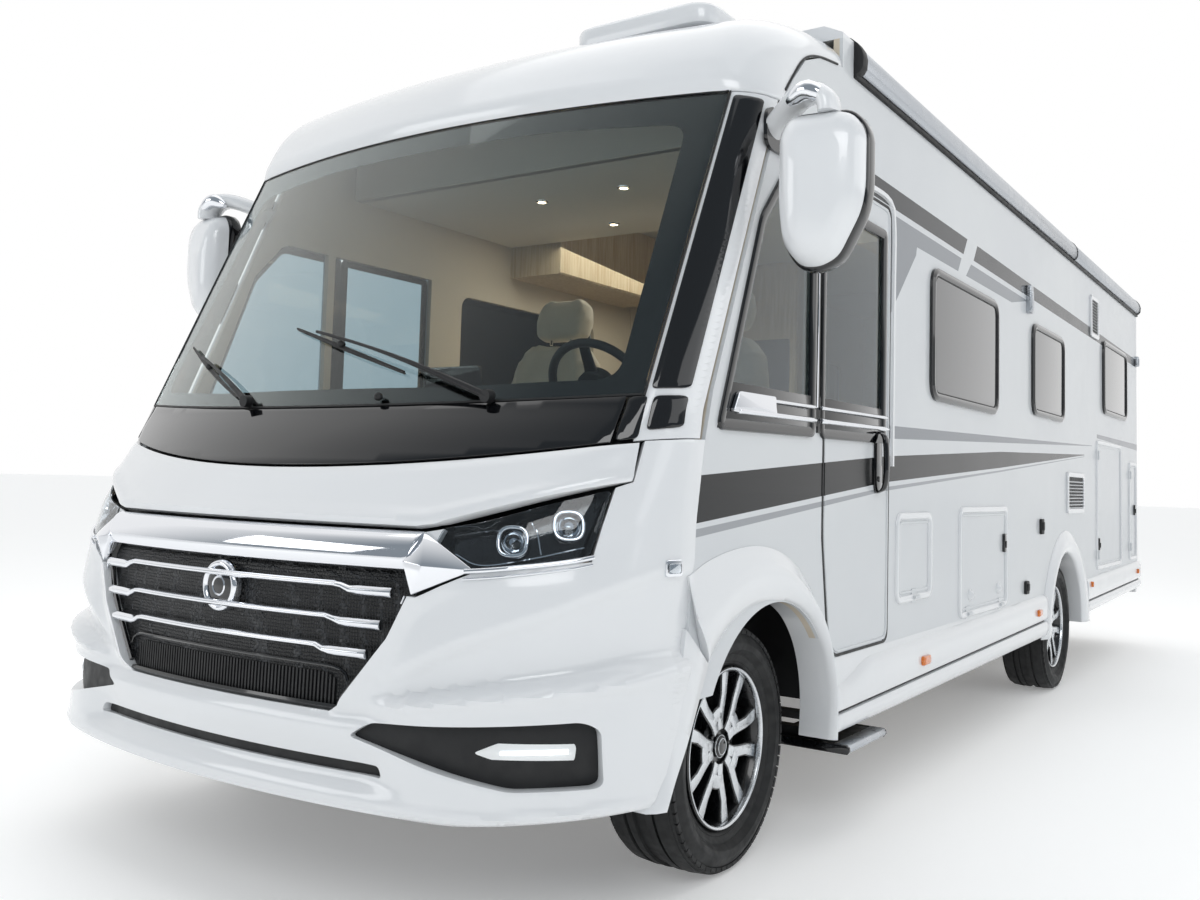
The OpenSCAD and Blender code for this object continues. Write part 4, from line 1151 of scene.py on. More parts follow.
def build_headlamps(settings):
    house, cover, chrome, glass, glow = (Shape() for _ in range(5))
    for s in (1, -1):
        outline = rounded(sided(s, HEADLAMP), 0.012)
        face_plate(outline, inset=0.05, thick=0.012, step=0.02, shape=house)
        rim = dense(outline, 0.03)
        rows = [[on_front(x * k, z, out) for x, z in rim]
                for k, out in ((1, -0.052), (1, -0.004), (0.997, -0.004), (0.997, -0.052))]
        house.add([p for r in rows for p in r], grid_faces(3, len(rim), close_columns=True))
        face_plate(outline, inset=0.0005, thick=0.003, step=0.02, shape=cover)
        for x, z in ((0.882, 1.014), (0.992, 1.058)):
            size = 0.04
            hub = on_front(s * x, z, -0.03)
            out = face_normal(s * x, z)
            side = Vector((0, 0, 1)).cross(out).normalized()
            up = out.cross(side)

            def spun(profile):
                return [[hub + out * h + (side * math.cos(t) + up * math.sin(t)) * r * size
                         for t in turns(32)] for r, h in profile]
            chrome.prism(around(0, 0, size, size, size * 0.92, 8),
                         lambda u, v, w: hub + side * u + up * v + out * (0.02 - w), 0.03,
                         inner=around(0, 0, size * 0.8, size * 0.8, size * 0.74, 8))
            glass.loft(spun([(0.0025, 0.022), (0.3, 0.02), (0.55, 0.012), (0.72, -0.004),
                             (0.72, -0.014)]), caps=False)
            chrome.loft(spun([(0.76, 0.004), (0.5, -0.012), (0.18, -0.02)]), caps=False)
        for path in ([(0.735, 0.984), (0.815, 0.958), (0.93, 0.975), (1.03, 1.002)],
                     [(0.905, 1.078), (0.93, 1.04), (0.948, 0.985)],
                     [(0.72, 1.028), (0.8, 1.044), (0.86, 1.062)]):
            glow.tube(front_line(curve_through(path, 24), -0.036, s), 0.0028, 6)
    piece("headlamp_housings", house, "Gloss black acrylic", replaces=["lamps"], angle=50)
    piece("headlamp_bezels", chrome, "Chromed trim", bevel=0.002, angle=50)
    piece("headlamp_projectors", glass, "Polycarbonate lens", angle=70)
    piece("headlamp_light_lines", glow, "Chromed trim")
    piece("headlamp_covers", cover, "Polycarbonate lens", angle=60)


def build_wipers(settings):
    arms, blades = Shape(), Shape()
    for root, tip in (((0.65, 1.376), (-0.08, 1.594)), ((-0.28, 1.372), (-0.72, 1.545))):
        base = on_front(*root, 0.024)
        arms.turned([(0.0001, -0.012), (0.018, -0.012), (0.02, 0.012), (0.0001, 0.02)],
                    base, "y", 24)
        line = [Vector(root).lerp(Vector(tip), t) for t in np.linspace(0, 1, 24)]
        path = [on_front(p.x, p.y + 0.012 * math.sin(math.pi * t), 0.026 + 0.012
                         * math.sin(math.pi * t)) for t, p in zip(np.linspace(0, 1, 24), line)]
        arms.tube(path, [0.011 - 0.006 * min(1, 1.6 * t) for t in np.linspace(0, 1, 24)], 8)
        along = (Vector(tip) - Vector(root)).normalized()
        middle_at = Vector(root) + (Vector(tip) - Vector(root)) * 0.82
        blade = [middle_at + along * d for d in np.linspace(-0.3, 0.27, 30)]
        low = [on_front(p.x, p.y - 0.012, 0.012) for p in blade]
        blades.tube(low, [0.004 + 0.004 * math.sin(math.pi * t) for t in np.linspace(0, 1, 30)],
                    6)
        squeegee = [on_front(p.x, p.y - 0.014, 0.005) for p in blade]
        blades.tube(squeegee, 0.003, 5)
        pin = on_front(middle_at.x, middle_at.y - 0.006, 0.02)
        blades.ball(pin, (0.014, 0.012, 0.011), 12, 8)
    nozzle = on_front(0.285, 1.382, 0.014)
    arms.ball(nozzle, (0.014, 0.012, 0.012), 14, 10)
    piece("wiper_arms", arms, "Grained black polypropylene", replaces=["wipers"])
    piece("wiper_blades", blades, "Rubber seal")


# ---- Sides ----
def side_sweep(shape, outline, side, profile, out=0.0, closed=True):
    """Profile carried along a line in Y and Z on a side wall"""
    return shape.sweep([(side * (HALF_W + out), y, z) for y, z in outline], profile,
                       lambda p: Vector((side, 0, 0)), closed_path=closed)


def outer_lip(profile, side):
    """Profile whose second number counts inwards, turned for a side"""
    return [(o, -w) for o, w in profile] if side == 1 else list(reversed(profile))


def box_of(node):
    """Low and high corner of a node in Y and Z, counted from the front axle"""
    low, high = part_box(node)
    return (low.y - AXLE_Y, low.z), (high.y - AXLE_Y, high.z)


WINDOWS_LEFT = [((1.444, 1.551), (2.44, 2.075)), ((WHEELBASE - 0.852, 1.601),
                (WHEELBASE - 0.104, 2.075)), ((WHEELBASE + 1.198, 1.74),
                (WHEELBASE + 2.108, 2.225))]
WINDOWS_RIGHT = [((1.12, 1.551), (2.3, 2.075)), ((WHEELBASE + 0.1, 1.601),
                 (WHEELBASE + 0.848, 2.075)), WINDOWS_LEFT[2]]
CAB_SILL = 1.452
CAB_GLASS = [(-0.395, 1.32), (0.895, 1.335), (0.895, 2.12), (0.015, 2.12), (-0.02, 2.105),
             (-0.15, 1.96)]


def scaled(outline, centre, k):
    """Outline made smaller or larger about a centre"""
    return [(centre[0] + (u - centre[0]) * k, centre[1] + (v - centre[1]) * k)
            for u, v in outline]


def build_windows(settings):
    frames, panes, inner = Shape(), Shape(), Shape()
    profile = [(-0.004, -0.034), (0.01, -0.032), (0.018, -0.022), (0.019, -0.008),
               (0.012, 0.0), (0.012, 0.004), (-0.004, 0.004)]
    for side, boxes in ((1, WINDOWS_LEFT), (-1, WINDOWS_RIGHT)):
        for low, high in boxes:
            side_sweep(frames, grown(low, high, 0.012, 0.085, 8), side,
                       outer_lip(profile, side))
            pane = grown(low, high, -0.004, 0.07, 8)
            centre = ((low[0] + high[0]) / 2, (low[1] + high[1]) / 2)
            rings = [[(side * (HALF_W + o), y, z) for y, z in scaled(pane, centre, k)]
                     for o, k in ((0.004, 1.0), (0.01, 0.985), (0.011, 0.96))]
            panes.loft(rings, caps=False)
            panes.add(rings[-1], [tuple(range(len(pane)))])
            side_sweep(inner, grown(low, high, -0.018, 0.06, 8), side,
                       [(0, -0.003), (0.003, -0.002), (0.003, 0.002), (0, 0.003)], 0.011)
    piece("window_frames", frames, "Gloss black acrylic", angle=50)
    piece("window_panes", panes, "Tinted acrylic", replaces=["side_windows"], angle=50)
    piece("window_seals", inner, "Rubber seal")
    build_cab_windows()


def clipped(outline, y0, y1):
    """The part of an outline between two distances along the body"""
    for limit, above in ((y0, True), (y1, False)):
        kept = []
        for i, p in enumerate(outline):
            q = outline[(i + 1) % len(outline)]
            here = (p[0] >= limit) == above
            if here:
                kept.append(p)
            if here != ((q[0] >= limit) == above):
                t = (limit - p[0]) / (q[0] - p[0])
                kept.append((limit, p[1] + t * (q[1] - p[1])))
        outline = kept
    return outline


def build_cab_windows():
    black, glass, chrome, door_black, door_glass, door_chrome = (Shape() for _ in range(6))
    door_low, door_high = box_of("driver_door")
    split = door_low[0]
    trim = [(-0.004, -0.03), (0.006, -0.028), (0.01, -0.016), (0.01, 0.004), (-0.004, 0.006)]

    def window(frames, panes, side, outline, sill):
        side_sweep(frames, rounded(outline, 0.03, 5), side, outer_lip(trim, side))
        panes.prism([(y, max(z, CAB_SILL)) for y, z in outline], wall(side, -0.004), 0.005)
        frames.prism(sill, wall(side, 0.006), 0.01)

    def bars(shape, side, y0, y1):
        for z, r in ((1.372, 0.0085), (1.414, 0.006)):
            shape.tube([(side * (HALF_W + 0.014), y, z + 0.012 * (y + 0.34) / 1.2)
                        for y in np.linspace(y0, y1, 14)], r, 10)

    for side in (1, -1):
        window(black, glass, side, clipped(CAB_GLASS, -0.5, split - 0.01 if side == 1
                                           else 0.33),
               [(-0.385, 1.328), (split - 0.02, 1.338), (split - 0.02, 1.455),
                (-0.33, 1.452)])
        bars(chrome, side, -0.3, split - 0.02)
        chrome.prism(rounded([(-0.335, 1.368), (-0.05, 1.37), (-0.062, 1.402),
                              (-0.062, 1.43), (-0.3, 1.428)], 0.012), wall(side, 0.02),
                     0.012)
    window(black, glass, -1, clipped(CAB_GLASS, 0.345, 0.89),
           [(0.32, 1.338), (0.89, 1.345), (0.89, 1.455), (0.32, 1.455)])
    bars(chrome, -1, 0.34, 0.88)
    end = door_high[0] - 0.04
    window(door_black, door_glass, 1, clipped(CAB_GLASS, split + 0.05, end),
           [(split + 0.02, 1.34), (end - 0.004, 1.346), (end - 0.004, 1.456),
            (split + 0.02, 1.456)])
    bars(door_chrome, 1, split + 0.03, end - 0.01)
    door_black.prism([(split + 0.008, 1.36), (split + 0.046, 1.36), (split + 0.046, 2.16),
                      (split + 0.008, 2.16)], wall(1, 0.005), 0.008)
    door_chrome.tube([(HALF_W + 0.006, split + 0.012, z) for z in (1.42, 1.8, 2.16)], 0.004, 8)
    piece("cab_window_frames", black, "Gloss black acrylic", bevel=0.002, angle=50)
    piece("cab_glass", glass, "Tempered side glass")
    piece("cab_chrome_bars", chrome, "Chromed trim", bevel=0.002)
    piece("door_window_frame", door_black, "Gloss black acrylic", "driver_door", bevel=0.002,
          angle=50)
    piece("door_glass", door_glass, "Tempered side glass", "driver_door",
          replaces=["driver_window"])
    piece("door_chrome_bars", door_chrome, "Chromed trim", "driver_door", bevel=0.002)


def door_line(grow):
    (y0, z0), (y1, z1) = box_of("driver_door")
    return rounded([(y0 - grow, 1.45), (y0 - grow, z1 + grow), (y1 + grow, z1 + grow),
                    (y1 + grow, z0 - grow), (0.45 - grow, z0 - grow),
                    (0.395 - grow, 0.67), (0.34 - grow, 1.0), (0.34 - grow, 1.35)],
                   0.045, 5)


def build_doors(settings):
    seal, band, trim, handle, entry, glass = (Shape() for _ in range(6))
    side_sweep(seal, door_line(0.0035), 1, [(-0.01, -0.007), (0.0015, -0.007),
                                            (0.0015, 0.003), (-0.01, 0.003)], 0.0005)
    piece("door_seal", seal, "Rubber seal")
    side_sweep(band, door_line(-0.012), 1, [(-0.001, -0.006), (0.004, -0.004),
                                            (0.004, 0.004), (-0.001, 0.006)])
    piece("door_edge_bead", band, "Gloss coated aluminium panel", "driver_door")
    (y0, z0), (y1, z1) = box_of("driver_door")
    arch = curve_through([(y1 + 0.03, 1.25), (y1 + 0.03, 1.9), (y1 + 0.028, 2.16),
                          (y1 - 0.03, z1 + 0.03), (0.6, z1 + 0.034), (0.3, z1 + 0.034)], 40)
    side_sweep(trim, arch, 1, [(-0.002, -0.011), (0.01, -0.008), (0.01, 0.008),
                               (-0.002, 0.011)], closed=False)
    piece("door_rain_trim", trim, "White gel coat")
    hy = y1 - 0.118
    grip = [(HALF_W + 0.003, hy, 1.15), (HALF_W + 0.03, hy, 1.172), (HALF_W + 0.036, hy, 1.26),
            (HALF_W + 0.03, hy, 1.35), (HALF_W + 0.003, hy, 1.372)]
    path = curve_through(grip, 24)
    rings = [[p + Vector((0.01 * math.cos(t), 0.017 * math.sin(t), 0)) for t in
              turns(14)] for p in path]
    handle.loft(rings)
    plate = rect((hy - 0.035, 1.148), (hy + 0.035, 1.374), 0.032, 6)
    handle.prism(plate, wall(1, 0.007), 0.008)
    handle.turned([(0.0001, 0.002), (0.01, 0.002), (0.011, -0.006)],
                  (HALF_W + 0.01, hy, 1.2), "x", 16)
    piece("driver_door_handle", handle, "Gloss black acrylic", "driver_door", bevel=0.002)
    (y0, z0), (y1, z1) = box_of("habitation_door")
    hy = y1 - 0.11
    path = curve_through([(-HALF_W - 0.003, hy, 1.28), (-HALF_W - 0.034, hy, 1.3),
                          (-HALF_W - 0.034, hy, 1.46), (-HALF_W - 0.003, hy, 1.48)], 18)
    entry.tube(path, 0.013, 12)
    entry.prism(rect((hy - 0.04, 1.24), (hy + 0.04, 1.52), 0.03), wall(-1, 0.006), 0.008)
    piece("habitation_door_handle", entry, "Grained black polypropylene", "habitation_door",
          bevel=0.002)
    glass.prism(rect((y0 + 0.12, 1.58), (y1 - 0.12, 2.18), 0.07, 8), wall(-1, 0.01), 0.01)
    piece("habitation_door_window", glass, "Tinted acrylic", "habitation_door", bevel=0.003)


def build_flaps(settings):
    """Raised frames, latches and hinges of the locker doors"""
    raised = [(-0.001, -0.019), (0.007, -0.016), (0.01, -0.008), (0.01, 0.002),
              (0.006, 0.008), (-0.001, 0.009)]
    frames, seals = Shape(), Shape()
    for node, side, grow in (("service_flap", 1, 0.016), ("locker_door", 1, 0.016),
                             ("left_garage_door", 1, 0.014), ("gas_locker_door", 1, 0.014),
                             ("right_garage_door", -1, 0.014), ("habitation_door", -1, 0.014)):
        low, high = flap_box(node)
        side_sweep(frames, grown(low, high, grow, 0.045), side, outer_lip(raised, side))
        side_sweep(seals, grown(low, high, 0.003, 0.028), side,
                   [(-0.008, -0.0025), (0.001, -0.0025), (0.001, 0.0025), (-0.008, 0.0025)])
        inner = side_sweep(Shape(), grown(low, high, -0.014, 0.028), side,
                           [(-0.001, -0.006), (0.0035, -0.004), (0.0035, 0.004),
                            (-0.001, 0.006)])
        piece(node + "_bead", inner, "Gloss coated aluminium panel", node)
    piece("locker_frames", frames, "White gel coat", angle=50)
    piece("locker_seals", seals, "Rubber seal")
    for node, side, y, z, size in (("locker_door", 1, 2.6, 0.915, (0.018, 0.045)),
                                   ("left_garage_door", 1, WHEELBASE + 1.03, 0.83,
                                    (0.016, 0.04)),
                                   ("gas_locker_door", 1, WHEELBASE + 2.5, 1.05,
                                    (0.016, 0.04)),
                                   ("right_garage_door", -1, WHEELBASE + 1.84, 1.05,
                                    (0.016, 0.04))):
        latch = Shape()
        latch.prism(around(y, z, size[0], size[1], 0.01),
                    wall(side, 0.013), 0.014)
        latch.prism(rect((y - 0.009, z - 0.024), (y + 0.009, z + 0.01), 0.006),
                    wall(side, 0.018), 0.006)
        piece(node + "_latch", latch, "Gloss black acrylic", node, bevel=0.0015)
    knobs = Shape()
    for y in (2.03, 2.5):
        knobs.turned([(0.0001, 0.02), (0.012, 0.018), (0.018, 0.008), (0.026, 0.004),
                      (0.028, -0.002)], (HALF_W, y, 0.7), "x", 24)
    piece("locker_door_knobs", knobs, "White gel coat", "locker_door", angle=50)


def flap_box(node):
    """Flap's own panel, without the hinge leaves that stand off it"""
    co = np.array([v.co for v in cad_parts[node].data.vertices])
    flat = co[np.abs(np.abs(co[:, 0]) - (HALF_W - 0.034)) < 0.001]
    return ((flat[:, 1].min() - AXLE_Y, flat[:, 2].min()),
            (flat[:, 1].max() - AXLE_Y, flat[:, 2].max()))


def arch_flare(name, opening, crest, outer, side):
    """Glossy flare round a wheel opening: outer foot, convex crest and inner return"""
    count = 60
    a, b, c = (curve_through(line, count) for line in (opening, crest, outer))
    rings = []
    for (y0, z0), (y1, z1), (y2, z2) in zip(a, b, c):
        mid = ((y0 + y1) / 2, (z0 + z1) / 2)
        rings.append([(side * x, y, z) for x, y, z in (
            (HALF_W - 0.004, y2, z2), (HALF_W + 0.003, y2, z2),
            (HALF_W + 0.01, 0.35 * y1 + 0.65 * y2, 0.35 * z1 + 0.65 * z2),
            (HALF_W + 0.024, 0.88 * y1 + 0.12 * y2, 0.88 * z1 + 0.12 * z2),
            (HALF_W + 0.031, 0.9 * y1 + 0.1 * y0, 0.9 * z1 + 0.1 * z0),
            (HALF_W + 0.027, mid[0], mid[1]),
            (HALF_W + 0.016, 0.85 * y0 + 0.15 * y1, 0.85 * z0 + 0.15 * z1),
            (HALF_W + 0.006, y0, z0), (HALF_W - 0.004, y0, z0),
            (HALF_W - 0.1, y0, z0), (HALF_W - 0.1, 0.9 * y0 + 0.1 * y1,
                                        0.9 * z0 + 0.1 * z1),
            (HALF_W - 0.01, 0.8 * y0 + 0.2 * y1, 0.8 * z0 + 0.2 * z1))])
    shape = Shape().loft(rings)
    piece(name, shape, "White gel coat", bevel=0.003, angle=55)


def build_arches(settings):
    outer = [(0.432, 0.345), (0.432, 0.46), (0.41, 0.575), (0.362, 0.69), (0.3, 0.79),
             (0.207, 0.875), (0.08, 0.948), (-0.084, 0.987), (-0.254, 0.988), (-0.42, 0.962),
             (-0.535, 0.925)]
    crest = [(0.424, 0.345), (0.424, 0.455), (0.404, 0.565), (0.355, 0.675), (0.285, 0.765),
             (0.18, 0.843), (0.057, 0.905), (-0.082, 0.938), (-0.251, 0.925), (-0.39, 0.872),
             (-0.52, 0.8)]
    for side, name in ((1, "left"), (-1, "right")):
        arch_flare(name + "_front_arch", ARCH_OPEN, crest, outer, side)
        angles = np.linspace(-0.02, math.pi + 0.02, 15)
        widen = [0.05 * (1 - math.sin(max(0, min(math.pi, t)))) for t in angles]
        lines = [[(WHEELBASE + (r + grow * k) * math.cos(t), TYRE_R + r * math.sin(t))
                  for t, grow in zip(angles, widen)]
                 for r, k in ((0.44, 0), (0.52, 1), (0.575, 1))]
        arch_flare(name + "_rear_arch", *lines, side)


def build_skirts(settings):
    skirt, groove, amber, metal = (Shape() for _ in range(4))
    # Start, end, then the height of the top, the groove and the lower edge at both
    spans = [(0.428, WHEELBASE - 0.566, 0.51, 0.604, 0.424, 0.466, 0.352, 0.372),
             (WHEELBASE + 0.566, REAR_WALL_Y - 0.004, 0.622, 0.648, 0.484, 0.512, 0.402, 0.436)]
    for side in (1, -1):
        for y0, y1, top0, top1, line0, line1, low0, low1 in spans:
            rings = []
            for y in np.linspace(y0, y1, 60):
                t = (y - y0) / (y1 - y0)
                top = top0 + (top1 - top0) * t
                if y0 < 1:
                    top = top0 + (0.572 - top0) * float(smooth_step(y, 0.5, 0.8)) \
                        + (top1 - 0.572) * max(0, (y - 0.8) / (y1 - 0.8))
                line = line0 + (line1 - line0) * t
                low = low0 + (low1 - low0) * t
                rings.append([(side * (HALF_W + x), y, z) for x, z in (
                    (-0.02, max(top, 0.606)), (-0.001, max(top, 0.606)), (-0.001, top),
                    (0.016, top - 0.01), (0.024, top - 0.03), (0.026, line + 0.02),
                    (0.022, line + 0.007), (0.004, line + 0.006), (0.004, line - 0.006),
                    (0.02, line - 0.007), (0.027, line - 0.018), (0.028, (line + low) / 2),
                    (0.02, low + 0.012), (0.0, low), (-0.06, low), (-0.06, low + 0.02),
                    (-0.02, low + 0.03))])
            skirt.loft(rings)
            groove.loft([[(side * (HALF_W + x), y, z + line0 + (line1 - line0)
                           * (y - y0) / (y1 - y0)) for x, z in
                          ((0.003, -0.0062), (0.008, -0.0062), (0.008, 0.0062), (0.003, 0.0062))]
                         for y in (y0 + 0.004, y1 - 0.004)])
        for y, z, long in ((1.325, 0.497, 0.046), (WHEELBASE - 0.79, 0.522, 0.04),
                           (TAIL_Y - 0.19, 0.575, 0.034), (WHEELBASE + 0.665, 0.585, 0.014)):
            outline = around(y, z, long, 0.018, 0.014)
            amber.loft([[(side * (HALF_W + x), u, v) for u, v in scaled(outline, (y, z), k)]
                        for x, k in ((0.02, 1.0), (0.034, 1.0), (0.038, 0.86), (0.039, 0.5))])
    piece("side_skirt_mouldings", skirt, "White gel coat", replaces=["side_skirts"], bevel=0.002,
          angle=50)
    piece("skirt_grooves", groove, "Grained black polypropylene")
    piece("amber_side_markers", amber, "Amber reflector", bevel=0.001)
    for side in (1, -1):
        y, z = -0.6, 0.949
        x = face_x(y, z)
        out = face_normal(side * x, z)
        along = out.cross(Vector((0, 0, 1))).normalized()
        base = on_front(side * x, z, 0.001)
        body = around(0, 0, 0.03, 0.022, 0.01)
        lens = rect((-0.023, -0.014), (0.023, 0.012), 0.007)
        metal.prism(body, lambda u, v, w: base + along * u + Vector((0, 0, v)) + out
                    * (0.01 - w), 0.012, slot=0)
        metal.prism(lens, lambda u, v, w: base + along * u + Vector((0, 0, v)) + out
                    * (0.014 - w), 0.01, slot=1)
    piece("fender_side_lamps", metal, ["Chromed trim", "Polycarbonate lens"], slot="lamp_lens",
          bevel=0.002)


def build_vents(settings):
    """Fridge vents, sockets and the small lamps on the walls"""
    frames, back = Shape(), Shape()
    vents = ((1, (4.055, 1.045), (4.556, 1.295)), (1, (4.79, 2.215), (5.06, 2.495)),
             (-1, (4.3, 1.045), (4.8, 1.295)))
    for side, low, high in vents:
        inner = grown(low, high, -0.028, 0.02)
        frames.prism(rect(low, high, 0.03), wall(side, 0.012), 0.013, inner=inner)
        back.prism(inner, wall(side, 0.003), 0.003)
    piece("vent_frames", frames, "White gel coat", bevel=0.003, angle=50)
    piece("vent_screens", back, "Grained black polypropylene")
    for k, (side, low, high) in enumerate(vents):
        one = Shape()
        pitch = 0.02
        count = int((high[1] - low[1] - 0.06) / pitch)
        one.loft([[(x, y, z) for x, z in ((0.003, -0.002), (0.01, -0.006), (0.0115, -0.004),
                                          (0.005, 0.002))]
                  for y in (low[0] + 0.026, high[0] - 0.026)])
        repeated("vent_slats_%d" % (k + 1), one, "White gel coat",
                 {"Count": count, "Step": (0.0, 0.0, pitch)},
                 centre=(side * HALF_W, 0, low[1] + 0.036), side=side, flat=True)
    sockets, lamp = Shape(), Shape()
    for side, y, z, w, h in ((1, 3.392, 0.98, 0.03, 0.042), (1, 3.05, 0.668, 0.032, 0.034),
                             (-1, 3.5, 0.98, 0.03, 0.042)):
        sockets.prism(around(y, z, w, h, 0.012), wall(side, 0.014), 0.015)
        sockets.prism(rect((y - w * 0.6, z - h * 0.5), (y + w * 0.6, z + h * 0.6), 0.008),
                      wall(side, 0.02), 0.008)
    for side, y, z, w, h in ((1, 3.083, 2.2, 0.03, 0.075), (1, 6.64, 2.235, 0.026, 0.04),
                             (-1, 3.55, 2.3, 0.03, 0.075)):
        lamp.prism(around(y, z, w, h, 0.012), wall(side, 0.026), 0.027)
        lamp.prism(rect((y - w * 0.7, z - h * 0.85), (y + w * 0.7, z + h * 0.6), 0.01),
                   wall(side, 0.03), 0.006)
    piece("wall_sockets", sockets, "Grained black polypropylene", bevel=0.002)
    piece("wall_lamps", lamp, "Anodised aluminium", bevel=0.003)


# ---- Roof, mirrors and steps ----
def build_roof_rails(settings):
    rail, dark = Shape(), Shape()
    y0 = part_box("roof_rails")[0].y - AXLE_Y
    y1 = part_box("roof_rails")[1].y - AXLE_Y
    joint, middle_z = 4.239, 2.68
    profile = [(-0.004, 2.622), (0.02, 2.63), (0.03, 2.646), (0.032, 2.676), (0.026, 2.7),
               (0.012, 2.722), (-0.01, 2.742), (-0.03, 2.75), (-0.03, 2.738),
               (-0.004, 2.716)]
    for side in (1, -1):
        for a, b in ((y0 + 0.045, joint - 0.003), (joint + 0.003, y1 - 0.02)):
            rail.loft([[(side * (HALF_W + x), y, z) for x, z in profile] for y in (a, b)])
        for a, b, grow in ((y0, y0 + 0.045, 1.15), (y1 - 0.02, y1, 1.1),
                           (joint - 0.005, joint + 0.005, 1.08)):
            dark.loft([[(side * (HALF_W + x * grow), y, middle_z + (z - middle_z) * grow)
                        for x, z in profile] for y in (a, b)])
        dark.loft([[(side * (HALF_W + x), y, z) for x, z in
                    ((-0.004, 2.604), (0.012, 2.606), (0.012, 2.622), (-0.004, 2.624))]
                   for y in (y0, y1)])
    piece("roof_rail_profiles", rail, "Anodised aluminium", replaces=["roof_rails"], bevel=0.003,
          angle=25)
    piece("roof_rail_ends", dark, "Grained black polypropylene", bevel=0.002)


def build_roof_hatches(settings):
    for node in ("front_roof_hatch", "rear_roof_hatch"):
        low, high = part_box(node)
        lid, frame_shape = Shape(), Shape()
        (x0, y0, z0), (x1, y1, z1) = low, high
        y0, y1 = y0 - AXLE_Y, y1 - AXLE_Y
        centre = ((x0 + x1) / 2, (y0 + y1) / 2)
        base = rect((x0, y0), (x1, y1), 0.06, 8)
        rings = [[(x, y, z0 + h * (z1 - z0)) for x, y in scaled(base, centre, k)]
                 for k, h in ((1.0, 0.0), (1.0, 0.3), (0.985, 0.42), (0.93, 0.45), (0.9, 0.5),
                              (0.86, 0.8), (0.78, 0.95), (0.6, 1.0), (0.3, 1.0))]
        lid.loft(rings)
        piece(node + "_lid", lid, "Blank reflective plate", node, slot="white_grp",
              replaces=[node], bevel=0.003, angle=50)
        skirt = rect((x0 - 0.03, y0 - 0.03), (x1 + 0.03, y1 + 0.03), 0.07, 8)
        hole = rect((x0 + 0.02, y0 + 0.02), (x1 - 0.02, y1 - 0.02), 0.05, 8)
        frame_shape.prism(skirt, lambda u, v, w: Vector((u, v, ROOF_Z + 0.03 - w)), 0.031,
                          inner=hole)
        piece(node + "_frame", frame_shape, "White gel coat", bevel=0.005, angle=50)


def build_mirrors(settings):
    white, black, glass, arm, chrome = (Shape() for _ in range(5))
    for side in (1, -1):
        x0, x1, z0, z1 = 1.25, 1.492, 1.775, 2.222
        outline = [(x0 + 0.03, z1), (x1 - 0.045, z1), (x1, z1 - 0.06), (x1, 2.0),
                   (x1 - 0.012, 1.93), (x1 - 0.075, z0 + 0.03), (x1 - 0.13, z0 + 0.004),
                   (x0 + 0.055, z0 + 0.01), (x0 + 0.012, z0 + 0.07), (x0, 1.95),
                   (x0, z1 - 0.05)]
        ring = rounded(outline, 0.05, 4)
        cx, cz = (x0 + x1) / 2 - 0.005, 2.0
        for shape, layers in (
                (white, ((0.3, -0.268), (0.62, -0.262), (0.84, -0.246), (0.95, -0.222),
                         (0.995, -0.18))),
                (black, ((1.0, -0.186), (1.028, -0.18), (1.038, -0.165), (1.038, -0.14),
                         (1.01, -0.126), (0.93, -0.122))),
                (glass, ((0.9, -0.124), (0.9, -0.1205)))):
            shape.loft([[(side * (cx + (x - cx) * k), y + 0.1 * (x - cx), cz + (z - cz) * k)
                         for x, z in ring] for k, y in layers])
        path = curve_through([(HALF_W - 0.02, -0.07, 2.225), (HALF_W + 0.05, -0.11, 2.262),
                              (HALF_W + 0.13, -0.165, 2.29), (HALF_W + 0.19, -0.19, 2.282),
                              (HALF_W + 0.225, -0.197, 2.25), (HALF_W + 0.23, -0.197, 2.215)],
                             20)
        rings = []
        for i, p in enumerate(path):
            t = i / (len(path) - 1)
            wide, tall = 0.052 + 0.01 * math.sin(math.pi * t), 0.03
            along = (path[min(i + 1, 19)] - path[max(i - 1, 0)]).normalized()
            up = along.cross(Vector((0, 1, 0))).normalized()
            rings.append([(side * q.x, q.y, q.z) for q in (
                p + Vector((0, 1, 0)) * wide * math.cos(s) + up * tall * math.sin(s)
                for s in turns(16))])
        arm.loft(rings)
        insert = curve_through([(HALF_W + 0.11, -0.222, 2.262), (HALF_W + 0.17, -0.24, 2.284),
                                (HALF_W + 0.23, -0.245, 2.252)], 10)
        chrome.tube([(side * p.x, p.y + 0.012, p.z) for p in insert],
                    [0.012, 0.02, 0.024, 0.026, 0.028, 0.028, 0.026, 0.024, 0.02, 0.012], 10)
        black.prism(rect((-0.14, 2.17), (0.04, 2.3), 0.05), wall(side, 0.01), 0.012)
    piece("mirror_shells", white, "White gel coat", replaces=["mirrors"], angle=60)
    piece("mirror_backs", black, "Gloss black acrylic", angle=50)
    piece("mirror_glass", glass, "Chromed trim", slot="clear_glass")
    piece("mirror_arms", arm, "White gel coat", angle=60)
    piece("mirror_arm_inserts", chrome, "Chromed trim")


